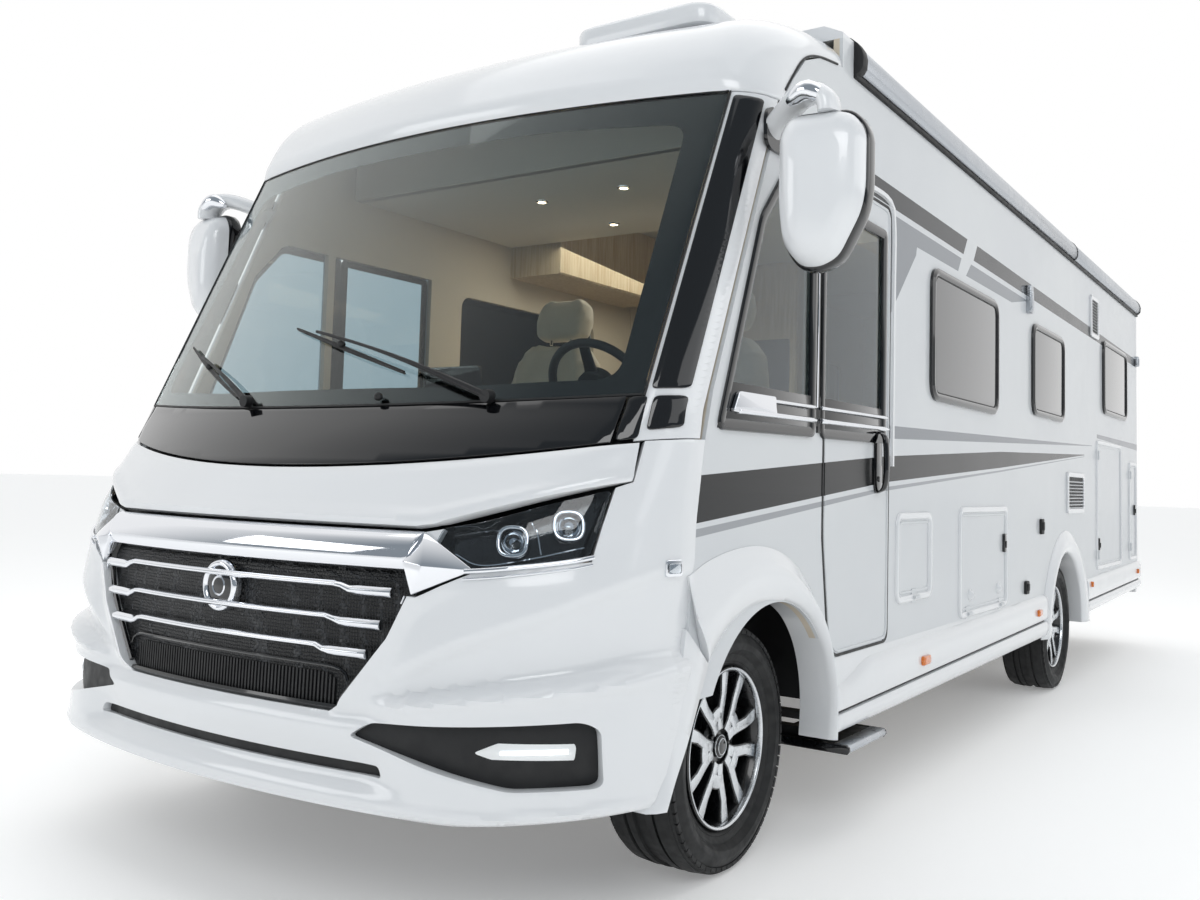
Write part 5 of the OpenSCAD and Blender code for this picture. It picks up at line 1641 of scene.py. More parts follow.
def build_steps(settings):
    for node in ("driver_step", "entry_step"):
        low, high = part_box(node)
        side = 1 if high.x > 0 else -1
        far = high.x if side == 1 else -low.x
        near = low.x if side == 1 else -high.x
        y0, y1 = low.y - AXLE_Y, high.y - AXLE_Y
        z0, z1 = low.z, high.z
        tread, nose, caps = Shape(), Shape(), Shape()
        tread.loft([[(side * x, y, z) for x, z in ((near, z0 + 0.004), (near, z1 - 0.002),
                                                   (far - 0.055, z1 - 0.002),
                                                   (far - 0.055, z0 + 0.004))]
                    for y in (y0 + 0.012, y1 - 0.012)])
        piece(node + "_tread", tread, "Grained black polypropylene", node, slot="step_tread",
              replaces=[node], bevel=0.002)
        nose.loft([[(side * x, y, z) for x, z in (
            (far - 0.06, z0 + 0.002), (far - 0.012, z0 + 0.001), (far - 0.002, z0 + 0.008),
            (far, z0 + 0.018), (far - 0.006, z1 - 0.002), (far - 0.016, z1),
            (far - 0.06, z1))] for y in (y0 + 0.01, y1 - 0.01)])
        piece(node + "_nose", nose, "Anodised aluminium", node, slot="step_tread", bevel=0.002,
              angle=25)
        for y in (y0, y1 - 0.014):
            caps.loft([[(side * x, yy, z) for x, z in (
                (near, z0), (far - 0.008, z0), (far, z0 + 0.012), (far - 0.002, z1 - 0.006),
                (far - 0.012, z1), (near, z1))] for yy in (y, y + 0.014)])
        piece(node + "_caps", caps, "Gloss black acrylic", node, slot="step_tread", bevel=0.002)
        rib = Shape().loft([[(side * (far - 0.052 - x), y, z1 - 0.0022 + h) for x, h in
                             ((0.0, 0), (0.001, 0.002), (0.005, 0.002), (0.006, 0))]
                            for y in (y0 + 0.016, y1 - 0.016)])
        repeated(node + "_ribs", rib, "Anodised aluminium",
                 {"Count": 4, "Step": (side * 0.012, 0.0, 0.0)}, node, "step_tread")


# ---- Wheels ----
def wheel_places():
    for name, side, x, y in (("front_left", 1, FRONT_X, FRONT), ("front_right", -1, FRONT_X,
                             FRONT), ("rear_left", 1, REAR_X, REAR),
                             ("rear_right", -1, REAR_X, REAR)):
        yield name, side, Vector((side * x, y, TYRE_R))


def build_tyres(settings):
    w, r = TYRE_HALF, TYRE_R
    half = [(RIM_R - 0.006, 0.08), (RIM_R + 0.002, 0.094), (RIM_R + 0.012, 0.1),
            (RIM_R + 0.016, 0.0985), (RIM_R + 0.03, 0.106), (RIM_R + 0.033, 0.1065),
            (RIM_R + 0.036, 0.106), (r - 0.075, w - 0.002), (r - 0.06, w),
            (r - 0.056, w + 0.0005), (r - 0.052, w - 0.001), (r - 0.032, w - 0.01),
            (r - 0.016, w - 0.02), (r - 0.009, w - 0.026)]
    tread = []
    for a, b in ((w - 0.026, 0.052), (0.044, 0.018), (0.01, -0.01)):
        tread += [(r - 0.002 - 0.04 * a * a * 8, a), (r - 0.001, b + 0.003)]
        tread += [(r - 0.01, b), (r - 0.01, b - 0.008)] if b > 0 else []
    right = half + tread[:-2]
    lines = right + [(radius, -along) for radius, along in reversed(right)]
    for name, side, centre in wheel_places():
        body = Shape().turned(lines + [lines[0]], steps=128)
        body.points = [Vector((side * p[0], p[1], p[2])) + centre for p in body.points]
        piece(name + "_tyre_body", body, "Tyre rubber", name + "_wheel",
              replaces=[name + "_tyre"], angle=32)
        for k, across in enumerate((-(w - 0.02), w - 0.02)):
            shoulder = Shape()
            shoulder.loft([[(across + x, y * q, r - 0.015 - d) for x, y in
                            ((-0.01, -0.0148), (0.01, -0.0148), (0.01, 0.0148),
                             (-0.01, 0.0148))] for q, d in ((1.05, 0.012), (1.0, 0.0))])
            repeated("%s_shoulder_lugs_%d" % (name, k + 1), shoulder, "Tyre rubber",
                     {"Count": settings.tread_lugs}, name + "_wheel", centre=centre,
                     in_ring=True, flat=True)


def build_rims(settings):
    """Black alloy wheel with five forked spokes whose faces are turned bright"""
    face, r = 0.078, RIM_R
    for name, side, centre in wheel_places():
        barrel, bright, caps, disc = (Shape() for _ in range(4))
        barrel.turned([(r - 0.004, 0.104), (r, 0.1), (r, 0.094), (r - 0.014, 0.088),
                       (r - 0.014, -0.09), (r, -0.098), (r, -0.105), (r - 0.01, -0.105),
                       (r - 0.024, -0.085), (r - 0.028, 0.02), (r - 0.026, 0.07),
                       (r - 0.016, 0.088), (r - 0.01, 0.101), (r - 0.004, 0.104)], steps=96)
        bright.turned([(r - 0.0035, 0.1045), (r - 0.01, 0.102), (r - 0.0145, 0.0915),
                       (r - 0.0155, 0.0905), (r - 0.0125, 0.103), (r - 0.006, 0.106),
                       (r - 0.0035, 0.1045)], steps=96)
        barrel.turned([(0.0001, 0.03), (0.062, 0.03), (0.082, 0.04), (0.088, 0.062),
                       (0.06, 0.07), (0.04, 0.066), (0.0001, 0.066)], steps=60)
        for k in range(5):
            turn = math.radians(38 + 72 * k)
            for path, width in fork(r, turn):
                spoke(barrel, path, width + 0.004, face - 0.05, face - 0.002)
            for path, width in fork(r, turn):
                spoke(bright, path, width, face - 0.003, face + 0.001)
            caps.turned([(0.0001, 0.01), (0.007, 0.009), (0.0085, 0.0), (0.0085, -0.012)],
                        (0.0685, 0.058 * math.cos(turn + 0.63), 0.058 * math.sin(turn + 0.63)),
                        steps=12)
        caps.turned([(0.0001, 0.086), (0.022, 0.0855), (0.03, 0.083), (0.033, 0.078),
                     (0.034, 0.064)], steps=40)
        bright.turned([(0.0225, 0.0858), (0.0245, 0.0872), (0.0265, 0.0855),
                       (0.0225, 0.085)], steps=40)
        bright.turned([(0.0325, 0.0802), (0.0345, 0.0805), (0.035, 0.074),
                       (0.0325, 0.074)], steps=40)
        disc.turned([(0.0001, 0.0), (0.135, 0.0), (0.136, 0.004), (0.135, 0.026),
                     (0.075, 0.026), (0.07, 0.034), (0.0001, 0.034)], steps=60)
        disc.loft([[(-0.035, 0.06, z), (0.04, 0.06, z), (0.044, 0.145, z * 1.2),
                    (-0.035, 0.15, z * 1.2)] for z in (-0.055, 0.055)])
        for shape, label, material, slot, bevel in (
                (barrel, "rim", "Black painted alloy", "alloy_rim", 0.0012),
                (bright, "rim_bright", "Diamond turned alloy", "alloy_rim", 0.0012),
                (caps, "rim_cap", "Gloss black acrylic", "alloy_rim", 0.0012),
                (disc, "brake_disc", "Cast iron", "engine_iron", 0.002)):
            shape.points = [Vector((side * p[0], p[1], p[2])) + centre for p in shape.points]
            piece("%s_%s_alloy" % (name, label), shape, material, name + "_wheel", slot=slot,
                  replaces=[name + "_rim"] if shape is barrel else [], bevel=bevel, angle=35)


def fork(out_r, turn):
    """One forked spoke as flat paths in Y and Z, with half widths along each"""
    def at(r, a):
        a = turn + math.radians(a)
        return Vector((r * math.cos(a), r * math.sin(a)))
    bars = [([at(r, s * a) for r, a in ((0.052, 12), (0.085, 13), (0.115, 17), (0.16, 21),
                                        (out_r - 0.014, 21))],
             [0.016, 0.0155, 0.015, 0.015, 0.02]) for s in (-1, 1)]
    bars.append(([at(0.104, a) for a in (-17, -8, 0, 8, 17)],
                 [0.02, 0.019, 0.019, 0.019, 0.02]))
    return [(path, np.array(width)) for path, width in bars]


def spoke(shape, path, widths, low, high):
    """Flat bar along a path in Y and Z between two depths"""
    rings = []
    for i, p in enumerate(path):
        along = (path[min(i + 1, len(path) - 1)] - path[max(i - 1, 0)]).normalized()
        across = Vector((-along.y, along.x)) * float(widths[i])
        a, b = p + across, p - across
        dish = 0.01 * min(1.0, p.length / 0.2)
        rings.append([(low + dish, a.x, a.y), (high + dish, a.x, a.y), (high + dish, b.x, b.y),
                      (low + dish, b.x, b.y)])
    shape.loft(rings)


def build_knuckles(settings):
    for side, name in ((1, "left"), (-1, "right")):
        shape = Shape()
        hub = Vector((side * (FRONT_X - 0.17), 0, TYRE_R))
        shape.turned([(0.0001, -0.05), (0.055, -0.05), (0.06, 0.0), (0.045, 0.02),
                      (0.0001, 0.02)], hub, "x", 24)
        piece(name + "_knuckle_boot", shape, "Rubber seal", name + "_knuckle", bevel=0.003)


# ---- Cab and living room ----
SEAT_X, SEAT_Y = 0.41, 0.662
SEAT_VOXEL = 0.014
SEAT_PRESSURE = 3.0
SEAT_FRAMES = 16
SEAT_SWELL = 0.016
SHELL_MATERIALS = {
    "chassis_frame": ("Waxed chassis steel", "chassis_steel"),
    "front_axle": ("Waxed chassis steel", "chassis_steel"),
    "rear_axle": ("Waxed chassis steel", "chassis_steel"),
    "left_knuckle": ("Cast iron", "engine_iron"),
    "right_knuckle": ("Cast iron", "engine_iron"),
    "engine": ("Cast iron", "engine_iron"),
    "floor": ("Vinyl covered plywood", "floor_board"),
    "wheel_houses": ("Grained black polypropylene", "black_plastic"),
    "left_wall": ("Gloss coated aluminium panel", "white_panel"),
    "right_wall": ("Gloss coated aluminium panel", "white_panel"),
    "driver_door": ("Gloss coated aluminium panel", "white_panel"),
    "habitation_door": ("Gloss coated aluminium panel", "white_panel"),
    "service_flap": ("Gloss coated aluminium panel", "white_panel"),
    "locker_door": ("Gloss coated aluminium panel", "white_panel"),
    "left_garage_door": ("Gloss coated aluminium panel", "white_panel"),
    "right_garage_door": ("Gloss coated aluminium panel", "white_panel"),
    "gas_locker_door": ("Gloss coated aluminium panel", "white_panel"),
    "rear_wall": ("White gel coat", "white_grp"),
    "roof": ("White gel coat", "white_grp"),
    "rear_bumper": ("White gel coat", "white_grp"),
    "furniture": ("Laminated light oak", "cabinet_wood"),
    "dashboard": ("Grained dashboard skin", "dash_plastic"),
}


def build_shell(settings):
    """Finishes of the CAD pieces that are shown as they are"""
    for node, (name, slot) in SHELL_MATERIALS.items():
        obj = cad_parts[node]
        obj.data.materials.clear()
        obj.data.materials.append(MATERIALS[name])


def box(shape, low, high, slot=0):
    (x0, y0, z0), (x1, y1, z1) = low, high
    return shape.loft([[(x0, y, z0), (x1, y, z0), (x1, y, z1), (x0, y, z1)] for y in (y0, y1)],
                      slot=slot)


def build_room(settings):
    """Linings, cupboard fronts and lamps that show through the glass"""
    pale, blue, wood, spots, rim = (Shape() for _ in range(5))
    box(pale, (-1.1, 0.62, 2.6), (1.1, 4.7, 2.612))
    box(pale, (-1.1, 0.36, 2.385), (1.1, 1.47, 2.398))
    box(pale, (-1.1, 0.35, 2.385), (1.1, 0.392, 2.56))
    for s in (1, -1):
        box(wood, (s * 0.8 - 0.006, 1.5, 2.235), (s * 0.8 + 0.006, 2.6, 2.595))
    box(wood, (0.556, 2.69, 0.8), (1.12, 2.698, 2.58))
    box(wood, (-1.12, 3.405, 0.88), (-0.33, 3.418, 2.58))
    for x0, x1, z0, z1 in ((-1.06, -0.72, 1.3, 2.1), (-0.69, -0.37, 1.3, 2.1),
                           (0.62, 1.06, 1.3, 2.1)):
        y = 3.396 if x0 < 0 else 2.682
        blue.prism(rect((x0, z0), (x1, z1), 0.02), lambda u, v, w: Vector((u, y + w, v)), 0.012)
    for x, y in ((-0.35, 0.75), (0.1, 0.72), (0.3, 1.1), (-0.3, 1.25), (-0.45, 2.0),
                 (0.35, 2.1), (0.0, 2.9)):
        z = 2.385 if y < 1.46 else 2.6
        spots.turned([(0.0001, -0.004), (0.018, -0.004), (0.019, 0.004), (0.0001, 0.004)],
                     (x, y, z), "z", 20)
        rim.turned([(0.018, -0.006), (0.028, -0.004), (0.03, 0.001), (0.018, 0.001),
                    (0.018, -0.006)], (x, y, z), "z", 24)
    piece("ceiling_lining", pale, "Pale ceiling fleece", bevel=0.003)
    piece("cupboard_panels", wood, "Laminated light oak", bevel=0.002)
    piece("blue_cupboard_fronts", blue, "Dark blue lacquer", bevel=0.002)
    piece("ceiling_spots", spots, "Warm spot lamp")
    piece("ceiling_spot_rims", rim, "Chromed trim")


def build_dash(settings):
    """Instrument hood, screen and vents on the dashboard"""
    skin, gloss = Shape(), Shape()
    rings = []
    for x in np.linspace(0.22, 0.62, 18):
        h = 0.075 * math.sin(math.pi * (x - 0.22) / 0.4) ** 0.6
        rings.append([(x, -0.36, 1.38), (x, -0.3, 1.405 + h * 0.8), (x, -0.2, 1.405 + h),
                      (x, -0.12, 1.396 + h), (x, -0.1, 1.385 + h * 0.7), (x, -0.14, 1.37)])
    skin.loft(rings)
    gloss.loft([[(x, y, z) for y, z in ((-0.128, 1.385), (-0.108, 1.345), (-0.116, 1.34),
                                        (-0.136, 1.38))] for x in (0.26, 0.58)])
    gloss.prism(rect((-0.13, 1.395), (0.13, 1.545), 0.015), lambda u, v, w:
                Vector((u, -0.15 - w + (v - 1.395) * 0.18 * -1, v)), 0.016)
    piece("dashboard_hood", skin, "Grained dashboard skin", bevel=0.003, angle=50)
    piece("dashboard_screens", gloss, "Gloss black acrylic", slot="dash_plastic", bevel=0.002)


def build_steering_wheel(settings):
    centre = Vector(((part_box("steering_wheel")[0].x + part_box("steering_wheel")[1].x) / 2, 0.13,
                     1.48))
    turn = Matrix.Rotation(math.radians(-55), 4, "X")
    rim, spokes, pad = Shape(), Shape(), Shape()
    points = [(out * math.cos(t), out * math.sin(t), 0.0165 * math.sin(s))
              for t in turns(72) for s in turns(16) for out in [0.19 + 0.0155 * math.cos(s)]]
    rim.add(points, grid_faces(72, 16, close_rows=True, close_columns=True))
    for a in (0, 180, 270):
        d = Vector((math.cos(math.radians(a)), math.sin(math.radians(a)), 0))
        n = Vector((-d.y, d.x, 0))
        spokes.loft([[d * r + n * w * across + Vector((0, 0, h - deep)) for across, deep in
                      ((1, 0), (-1, 0), (-1, 0.014), (1, 0.014))]
                     for r, w, h in ((0.04, 0.034, 0.0), (0.1, 0.022, 0.0),
                                     (0.178, 0.018, 0.006))])
    pad.prism(rounded([(-0.075, 0.05), (0.075, 0.05), (0.06, -0.06), (0.025, -0.085),
                       (-0.025, -0.085), (-0.06, -0.06)], 0.025),
              lambda u, v, w: Vector((u, v, 0.018 - w)), 0.045)
    pad.turned([(0.0001, -0.16), (0.03, -0.16), (0.035, -0.03), (0.05, -0.02), (0.0001, -0.02)],
               (0, 0, 0), "z", 24)
    for shape, name, finish_name, replaced in (
            (rim, "steering_wheel_rim", "Grained dashboard skin", ["steering_wheel"]),
            (spokes, "steering_wheel_spokes", "Gloss black acrylic", []),
            (pad, "steering_wheel_pad", "Grained dashboard skin", [])):
        shape.points = [turn @ Vector(p) + centre for p in shape.points]
        piece(name, shape, finish_name, "steering_wheel", slot="dash_plastic", replaces=replaced,
              bevel=0.003, angle=50)


def seat_blank(shape, kind):
    """Closed block of one cushion, already close to its upholstered form"""
    rings = []
    if kind == "cushion":
        for y, wide, low, high in ((-0.268, 0.215, 1.09, 1.15), (-0.255, 0.24, 1.075, 1.185),
                                   (-0.18, 0.256, 1.07, 1.205), (0.0, 0.262, 1.07, 1.2),
                                   (0.16, 0.258, 1.07, 1.195), (0.245, 0.235, 1.08, 1.19)):
            rings.append([Vector((x, y, z)) for x, z in bolster(wide, low, high, 0.035)])
        return shape.loft(rings)
    lean = math.radians(12)
    rows = {"back": ((0.0, 0.225, 0.075), (0.05, 0.255, 0.07), (0.2, 0.262, 0.06),
                     (0.4, 0.256, 0.055), (0.53, 0.226, 0.05), (0.6, 0.17, 0.045),
                     (0.625, 0.12, 0.035)),
            "head": ((0.638, 0.1, 0.03), (0.655, 0.135, 0.042), (0.73, 0.146, 0.05),
                     (0.8, 0.13, 0.046), (0.835, 0.09, 0.034))}[kind]
    for h, wide, deep in rows:
        base = Vector((0, 0.215 + math.sin(lean) * h, 1.175 + math.cos(lean) * h))
        ring = bolster(wide, -deep, deep, 0.028 if kind == "back" else 0.012)
        rings.append([base + Vector((x, -z * math.cos(lean), z * math.sin(lean)))
                      for x, z in ring])
    return shape.loft(rings)


def bolster(wide, low, high, lift):
    """Cross-section of a cushion with raised side bolsters"""
    top = []
    for t in np.linspace(-1, 1, 17):
        bulge = lift * smooth_step(abs(t), 0.45, 0.78) * (1 - smooth_step(abs(t), 0.86, 1.0))
        top.append((wide * t, high - 0.012 + float(bulge) - 0.03
                    * float(smooth_step(abs(t), 0.92, 1.0))))
    return top + [(wide * 1.01, (low + high) / 2), (wide * 0.96, low + 0.01), (wide * 0.85, low),
                  (-wide * 0.85, low), (-wide * 0.96, low + 0.01), (-wide * 1.01,
                                                                    (low + high) / 2)]


def upholster(name, kind, side, replaced, fill):
    """Cushion inflated as cloth, then kept as a plain mesh"""
    shape = seat_blank(Shape(), kind)
    mesh = bpy.data.meshes.new(name)
    mesh.from_pydata([tuple(Vector(p) + Vector((side * SEAT_X, SEAT_Y, 0)))
                      for p in shape.points], [],
                     shape.faces)
    obj = bpy.data.objects.new(name, mesh)
    bpy.context.scene.collection.objects.link(obj)
    remesh = obj.modifiers.new("Even mesh", "REMESH")
    remesh.mode, remesh.voxel_size = "VOXEL", SEAT_VOXEL
    bpy.context.view_layer.update()
    graph = bpy.context.evaluated_depsgraph_get()
    even = bpy.data.meshes.new_from_object(obj.evaluated_get(graph))
    obj.modifiers.clear()
    obj.data = even
    start = np.array([v.co for v in even.vertices])
    cloth = obj.modifiers.new("Cloth", "CLOTH")
    cloth.settings.quality = 5
    cloth.settings.mass = 0.4
    cloth.settings.tension_stiffness = cloth.settings.compression_stiffness = 25
    cloth.settings.shear_stiffness = 15
    cloth.settings.bending_stiffness = 1.5
    cloth.settings.use_pressure = True
    cloth.settings.uniform_pressure_force = SEAT_PRESSURE * fill
    cloth.settings.effector_weights.gravity = 0.0
    cloth.collision_settings.use_collision = False
    cloth.point_cache.frame_start, cloth.point_cache.frame_end = 1, 20
    for step in range(1, SEAT_FRAMES + 1):
        bpy.context.scene.frame_set(step)
    graph = bpy.context.evaluated_depsgraph_get()
    moved = np.array([v.co for v in obj.evaluated_get(graph).data.vertices])
    obj.modifiers.clear()
    bpy.context.scene.frame_set(1)
    shift = moved - start
    far = np.linalg.norm(shift, axis=1)
    shift *= np.minimum(1, SEAT_SWELL / np.maximum(far, 1e-6))[:, None]
    even.vertices.foreach_set("co", (start + shift).ravel())
    mesh = obj.data
    bpy.data.objects.remove(obj)
    seat = finish(name, mesh, "Cream leather", replaces=replaced, subdivide=1)
    return seat


def build_seats(settings):
    trims, base, seams = Shape(), Shape(), Shape()
    for side, label in ((1, "driver"), (-1, "passenger")):
        for kind, fill in (("cushion", 0.8), ("back", 0.75), ("head", 0.85)):
            upholster("%s_seat_%s" % (label, kind), kind, side,
                      ["seats"] if side == 1 and kind == "cushion" else [], fill)
        x, y = side * SEAT_X, SEAT_Y
        box(base, (x - 0.2, y - 0.2, 0.8), (x + 0.2, y + 0.2, 1.06))
        for s in (-1, 1):
            trims.loft([[(x + s * a, y + b, z) for a, z in ((0.262, 1.03), (0.285, 1.03),
                                                           (0.285, 1.1), (0.262, 1.1))]
                        for b in (-0.2, 0.22)])
            seams.tube([(x + s * 0.055, y + 0.215 + math.sin(0.209) * 0.625, 1.78), (x + s
                        * 0.055, y + 0.215 + math.sin(0.209) * 0.66, 1.83)], 0.008, 8)
            arm = curve_through([(x + s * 0.29, y + 0.2, 1.42), (x + s * 0.29, y + 0.0, 1.4),
                                 (x + s * 0.29, y - 0.16, 1.39)], 10)
            trims.tube(arm, 0.024, 12)
    piece("seat_pedestals", base, "Grained black polypropylene", slot="dash_plastic", bevel=0.01)
    piece("seat_side_trims", trims, "Pale ceiling fleece", slot="cream_leather", bevel=0.006)
    piece("headrest_posts", seams, "Chromed trim")


# ---- Rear ----
def build_rear(settings):
    """Lamp clusters, plate panel and reflectors on the rear wall and bumper"""
    house, red, amber, clear, plate, black = (Shape() for _ in range(6))

    def patch(shape, low, high, y, depth, radius=0.02):
        shape.prism(rect(low, high, radius), lambda u, v, w: Vector((u, y - w, v)), depth)

    for s in (1, -1):
        x0, x1 = (0.985, 1.125) if s == 1 else (-1.125, -0.985)
        patch(house, (x0, 0.895), (x1, 1.505), REAR_WALL_Y + 0.022, 0.024, 0.03)
        for z0, z1, shape in ((0.92, 1.09, red), (1.1, 1.23, amber), (1.24, 1.3, clear),
                              (1.31, 1.485, red)):
            patch(shape, (x0 + 0.012, z0), (x1 - 0.012, z1), REAR_WALL_Y + 0.031, 0.012, 0.014)
        patch(red, (s * 0.86 - 0.07, 0.505), (s * 0.86 + 0.07, 0.545), TAIL_Y + 0.003, 0.008,
              0.012)
    patch(red, (-0.2, 2.545), (0.2, 2.575), REAR_WALL_Y + 0.018, 0.02, 0.012)
    patch(house, (-0.22, 2.535), (0.22, 2.585), REAR_WALL_Y + 0.01, 0.012, 0.015)
    patch(black, (-0.34, 0.9), (0.34, 1.06), REAR_WALL_Y + 0.01, 0.012, 0.02)
    patch(plate, (-0.26, 0.925), (0.26, 1.035), REAR_WALL_Y + 0.014, 0.006, 0.008)
    patch(black, (-0.95, 0.42), (0.95, 0.47), TAIL_Y + 0.002, 0.01, 0.015)
    patch(black, (-0.5, 1.62), (0.5, 2.14), REAR_WALL_Y + 0.014, 0.016, 0.07)
    glass = Shape()
    patch(glass, (-0.465, 1.655), (0.465, 2.105), REAR_WALL_Y + 0.019, 0.01, 0.05)
    piece("rear_lamp_housings", house, "Gloss black acrylic", bevel=0.003)
    piece("rear_red_lenses", red, "Red lamp lens", bevel=0.003)
    piece("rear_amber_lenses", amber, "Amber reflector", bevel=0.003)
    piece("rear_clear_lenses", clear, "Blank reflective plate", bevel=0.003)
    piece("blank_number_plate", plate, "Blank reflective plate", slot="white_grp", bevel=0.001)
    piece("rear_black_trims", black, "Grained black polypropylene", bevel=0.003)
    piece("rear_window", glass, "Tinted acrylic", bevel=0.003)
    mould = Shape()
    for s in (1, -1):
        mould.tube([(s * 1.142, REAR_WALL_Y + 0.003, z) for z in np.linspace(0.62, 2.6, 20)],
                   0.012, 10)
    mould.tube([(x, REAR_WALL_Y + 0.003, 2.64) for x in np.linspace(-1.13, 1.13, 20)], 0.012,
               10)
    piece("rear_corner_beads", mould, "White gel coat")


# ---- Stage ----
CAMERA_PLACE = (2.591, -5.875, 1.17)
CAMERA_LENS, CAMERA_RISE = 33.14, -0.04
CAMERA_YAW, CAMERA_PITCH, CAMERA_ROLL = 0.5989, 0.0699, 0.0288


def area_light(name, place, aim, size, power, colour=(1.0, 1.0, 1.0)):
    data = bpy.data.lights.new(name, "AREA")
    data.shape = "RECTANGLE"
    data.size, data.size_y = size
    data.energy = power
    data.color = colour
    light = bpy.data.objects.new(name, data)
    bpy.context.scene.collection.objects.link(light)
    light.visible_camera = False
    light.location = Vector(place) + Vector((0, AXLE_Y, 0))
    light.rotation_euler = (Vector(aim) - Vector(place)).to_track_quat("-Z", "Y").to_euler()
    return light


def build_stage(settings):
    mesh = bpy.data.meshes.new("studio_floor")
    verts = [(x, y, 0.0) for y in (-90.0, 120.0) for x in (-110.0, 110.0)]
    mesh.from_pydata(verts, [], [(0, 1, 3, 2)])
    mesh.materials.append(MATERIALS["Matt studio floor"])
    floor = bpy.data.objects.new("studio_floor", mesh)
    bpy.context.scene.collection.objects.link(floor)
    area_light("key_light", (5.5, -7.0, 6.5), (0.0, 1.0, 1.2), (5.0, 4.0), settings.key_power)
    area_light("side_light", (9.5, 3.5, 4.8), (1.0, 3.0, 1.2), (9.0, 3.5),
               settings.key_power * 0.45)
    area_light("front_light", (-5.5, -7.5, 3.8), (0.0, 0.0, 1.2), (4.0, 3.5),
               settings.key_power * 0.42)
    area_light("top_light", (0.0, 2.5, 8.5), (0.0, 2.5, 0.0), (9.0, 10.0),
               settings.key_power * 0.55)
    inside = area_light("cab_light", (0.0, 1.6, 2.36), (0.0, 1.5, 1.0), (1.6, 1.8),
                        settings.spot_power, (1.0, 0.9, 0.78))
    inside.visible_transmission = inside.visible_glossy = False
    world = bpy.data.worlds.new("studio_light")
    world.use_nodes = True
    # Bright room ahead of the camera, dim behind it, so that gloss and glass stay deep
    tree = world.node_tree
    background = tree.nodes["Background"]
    way = add_node(tree, "ShaderNodeTexCoord").outputs["Generated"]
    ahead = add_node(tree, "ShaderNodeVectorMath", {0: way, 1: (-0.52, 0.8, 0.3)},
                     operation="DOT_PRODUCT").outputs["Value"]
    tree.links.new(two_tone(tree, ramp(tree, ahead, -0.15, 0.4), settings.room_dark,
                            settings.room_bright), background.inputs["Color"])
    background.inputs["Strength"].default_value = settings.world_light
    bpy.context.scene.world = world
    bpy.context.scene.view_settings.view_transform = "Standard"
    camera = bpy.data.cameras.new("camera")
    camera.lens = CAMERA_LENS
    camera.sensor_width = 36.0
    camera.shift_y = CAMERA_RISE
    camera.clip_end = 200.0
    camera.dof.use_dof = False
    view = bpy.data.objects.new("camera", camera)
    bpy.context.scene.collection.objects.link(view)
    flat = math.cos(CAMERA_PITCH)
    ahead = Vector((-math.sin(CAMERA_YAW) * flat, math.cos(CAMERA_YAW) * flat,
                    math.sin(CAMERA_PITCH)))
    right = ahead.cross(Vector((0, 0, 1))).normalized()
    up = right.cross(ahead)
    cos, sin = math.cos(CAMERA_ROLL), math.sin(CAMERA_ROLL)
    across, above = right * cos + up * sin, up * cos - right * sin
    turn = Matrix((across, above, -ahead)).transposed().to_4x4()
    view.matrix_world = Matrix.Translation(Vector(CAMERA_PLACE)) @ turn
    bpy.context.scene.camera = view


# ---- Operators and panel ----
class MotorhomeSettings(bpy.types.PropertyGroup):
    body: bpy.props.StringProperty(
        name="Body colour", description="Hex colour of the gel coat", default="e2e4e6")
    leather: bpy.props.StringProperty(
        name="Leather colour", description="Hex colour of the cab seats", default="d9d0bf")
    cabinet: bpy.props.StringProperty(
        name="Cabinet colour", description="Hex colour of the furniture boards",
        default="d8c7ab")
    tread_lugs: bpy.props.IntProperty(
        name="Tyre lugs", description="Tread blocks round each tyre", default=64, min=24,
        max=120)
    spot_power: bpy.props.FloatProperty(
        name="Inside light", description="Power of the light inside the cab", default=34.0,
        min=0.0, max=100.0, unit="POWER")
    key_power: bpy.props.FloatProperty(
        name="Key light", description="Power of the main studio light", default=230.0, min=10.0,
        max=5000.0, unit="POWER")
    room_dark: bpy.props.StringProperty(
        name="Room behind", description="Hex colour of the studio behind the camera",
        default="8d959c")
    room_bright: bpy.props.StringProperty(
        name="Room ahead", description="Hex colour of the studio ahead of the camera",
        default="ffffff")
    world_light: bpy.props.FloatProperty(
        name="World light", description="Strength of the even light all round", default=1.0,
        min=0.0, max=3.0)


class PieceOperator(bpy.types.Operator):
    """Shared part of the operators: run the builder and report"""
    bl_options = {"REGISTER", "UNDO"}
    builders = ()

    def execute(self, context):
        settings = context.scene.motorhome
        for build in self.builders:
            build(settings)
        return {"FINISHED"}


def operator(idname, label, text, *builders):
    return type("MOTORHOME_OT_" + idname, (PieceOperator,), {
        "__doc__": text, "bl_idname": "motorhome." + idname, "bl_label": label,
        "builders": builders})


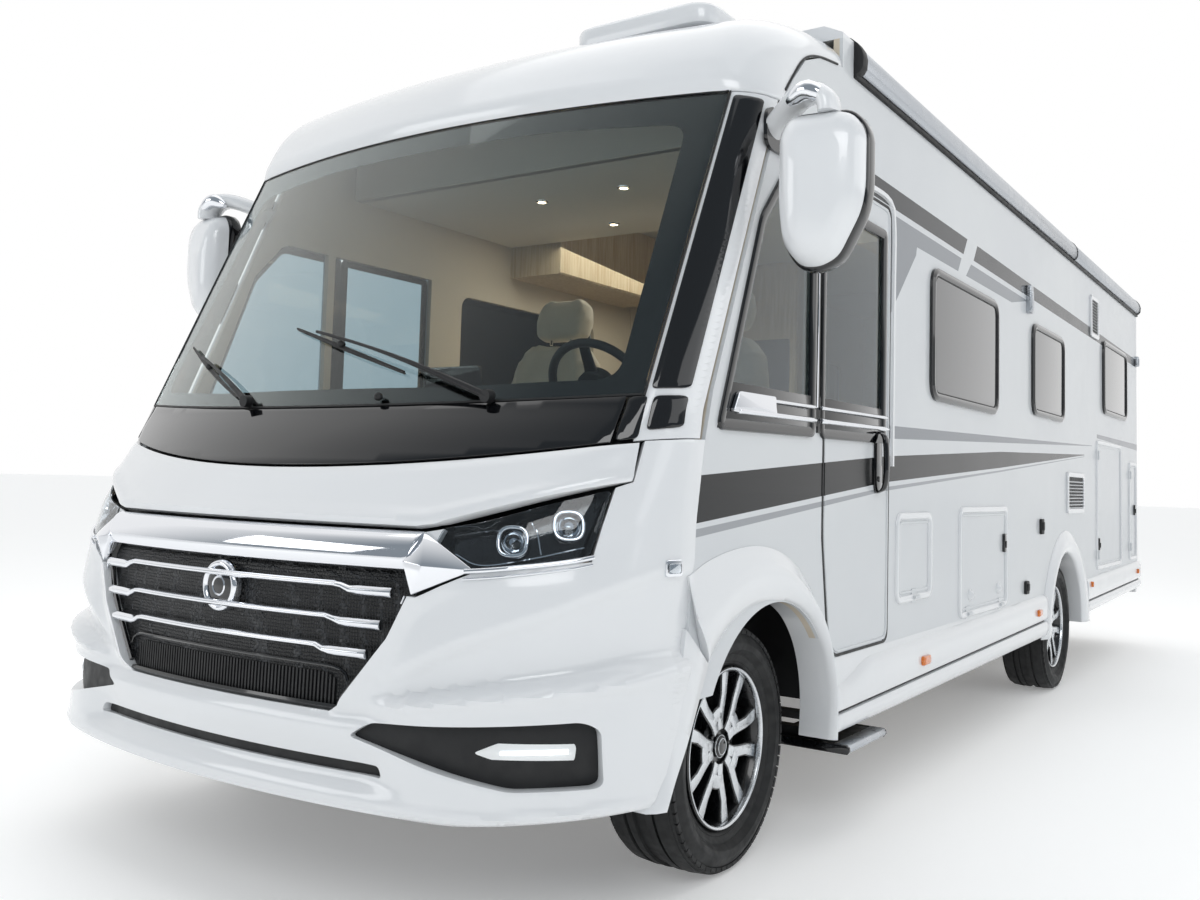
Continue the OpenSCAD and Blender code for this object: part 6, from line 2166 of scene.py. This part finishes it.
OPERATORS = [
    operator("materials", "Materials", "Make every material of the model", make_materials),
    operator("front", "Front", "Build the bumper, bonnet and cap", build_bumper, build_bonnet,
             build_cap),
    operator("windscreen", "Windscreen", "Build the windscreen and its black panels",
             build_windscreen, build_black_panels),
    operator("grille", "Grille and lamps", "Build the grille, the lamps and the wipers",
             build_grille, build_headlamps, build_wipers),
    operator("windows", "Side windows", "Build the windows of both sides", build_windows),
    operator("doors", "Doors and lockers", "Build the trims of doors and lockers", build_doors,
             build_flaps),
    operator("sides", "Side mouldings", "Build arches, skirts, vents and lamps", build_arches,
             build_skirts, build_vents),
    operator("roof", "Roof, mirrors, steps", "Build the rails, hatches, mirrors and steps",
             build_roof_rails, build_roof_hatches, build_mirrors, build_steps),
    operator("rear", "Rear", "Build the lamps and trims of the rear wall", build_rear),
    operator("wheels", "Wheels", "Build tyres, rims and brakes", build_tyres, build_rims,
             build_knuckles),
    operator("shell", "Shell finishes", "Give the plain CAD pieces their finishes", build_shell),
    operator("inside", "Cab and room", "Build the lamps, panels, dashboard and seats",
             build_room, build_dash, build_steering_wheel, build_seats),
    operator("stage", "Studio", "Set the floor, the lights and the camera", build_stage),
]


class MOTORHOME_PT_panel(bpy.types.Panel):
    """Lists the pieces in the order they are built"""
    bl_label = "Motorhome"
    bl_space_type = "VIEW_3D"
    bl_region_type = "UI"
    bl_category = "Motorhome"

    def draw(self, context):
        settings = context.scene.motorhome
        for name in MotorhomeSettings.__annotations__:
            self.layout.prop(settings, name)
        for kind in OPERATORS:
            self.layout.operator(kind.bl_idname)


CLASSES = [MotorhomeSettings] + OPERATORS + [MOTORHOME_PT_panel]


def register():
    for kind in CLASSES:
        bpy.utils.register_class(kind)
    bpy.types.Scene.motorhome = bpy.props.PointerProperty(type=MotorhomeSettings)


def unregister():
    del bpy.types.Scene.motorhome
    for kind in reversed(CLASSES):
        bpy.utils.unregister_class(kind)


def main():
    register()
    for kind in OPERATORS:
        group, name = kind.bl_idname.split(".")
        result = getattr(getattr(bpy.ops, group), name)()
        if "FINISHED" not in result:
            raise RuntimeError("%s was not finished" % kind.bl_label)


if __name__ == "__main__":
    main()
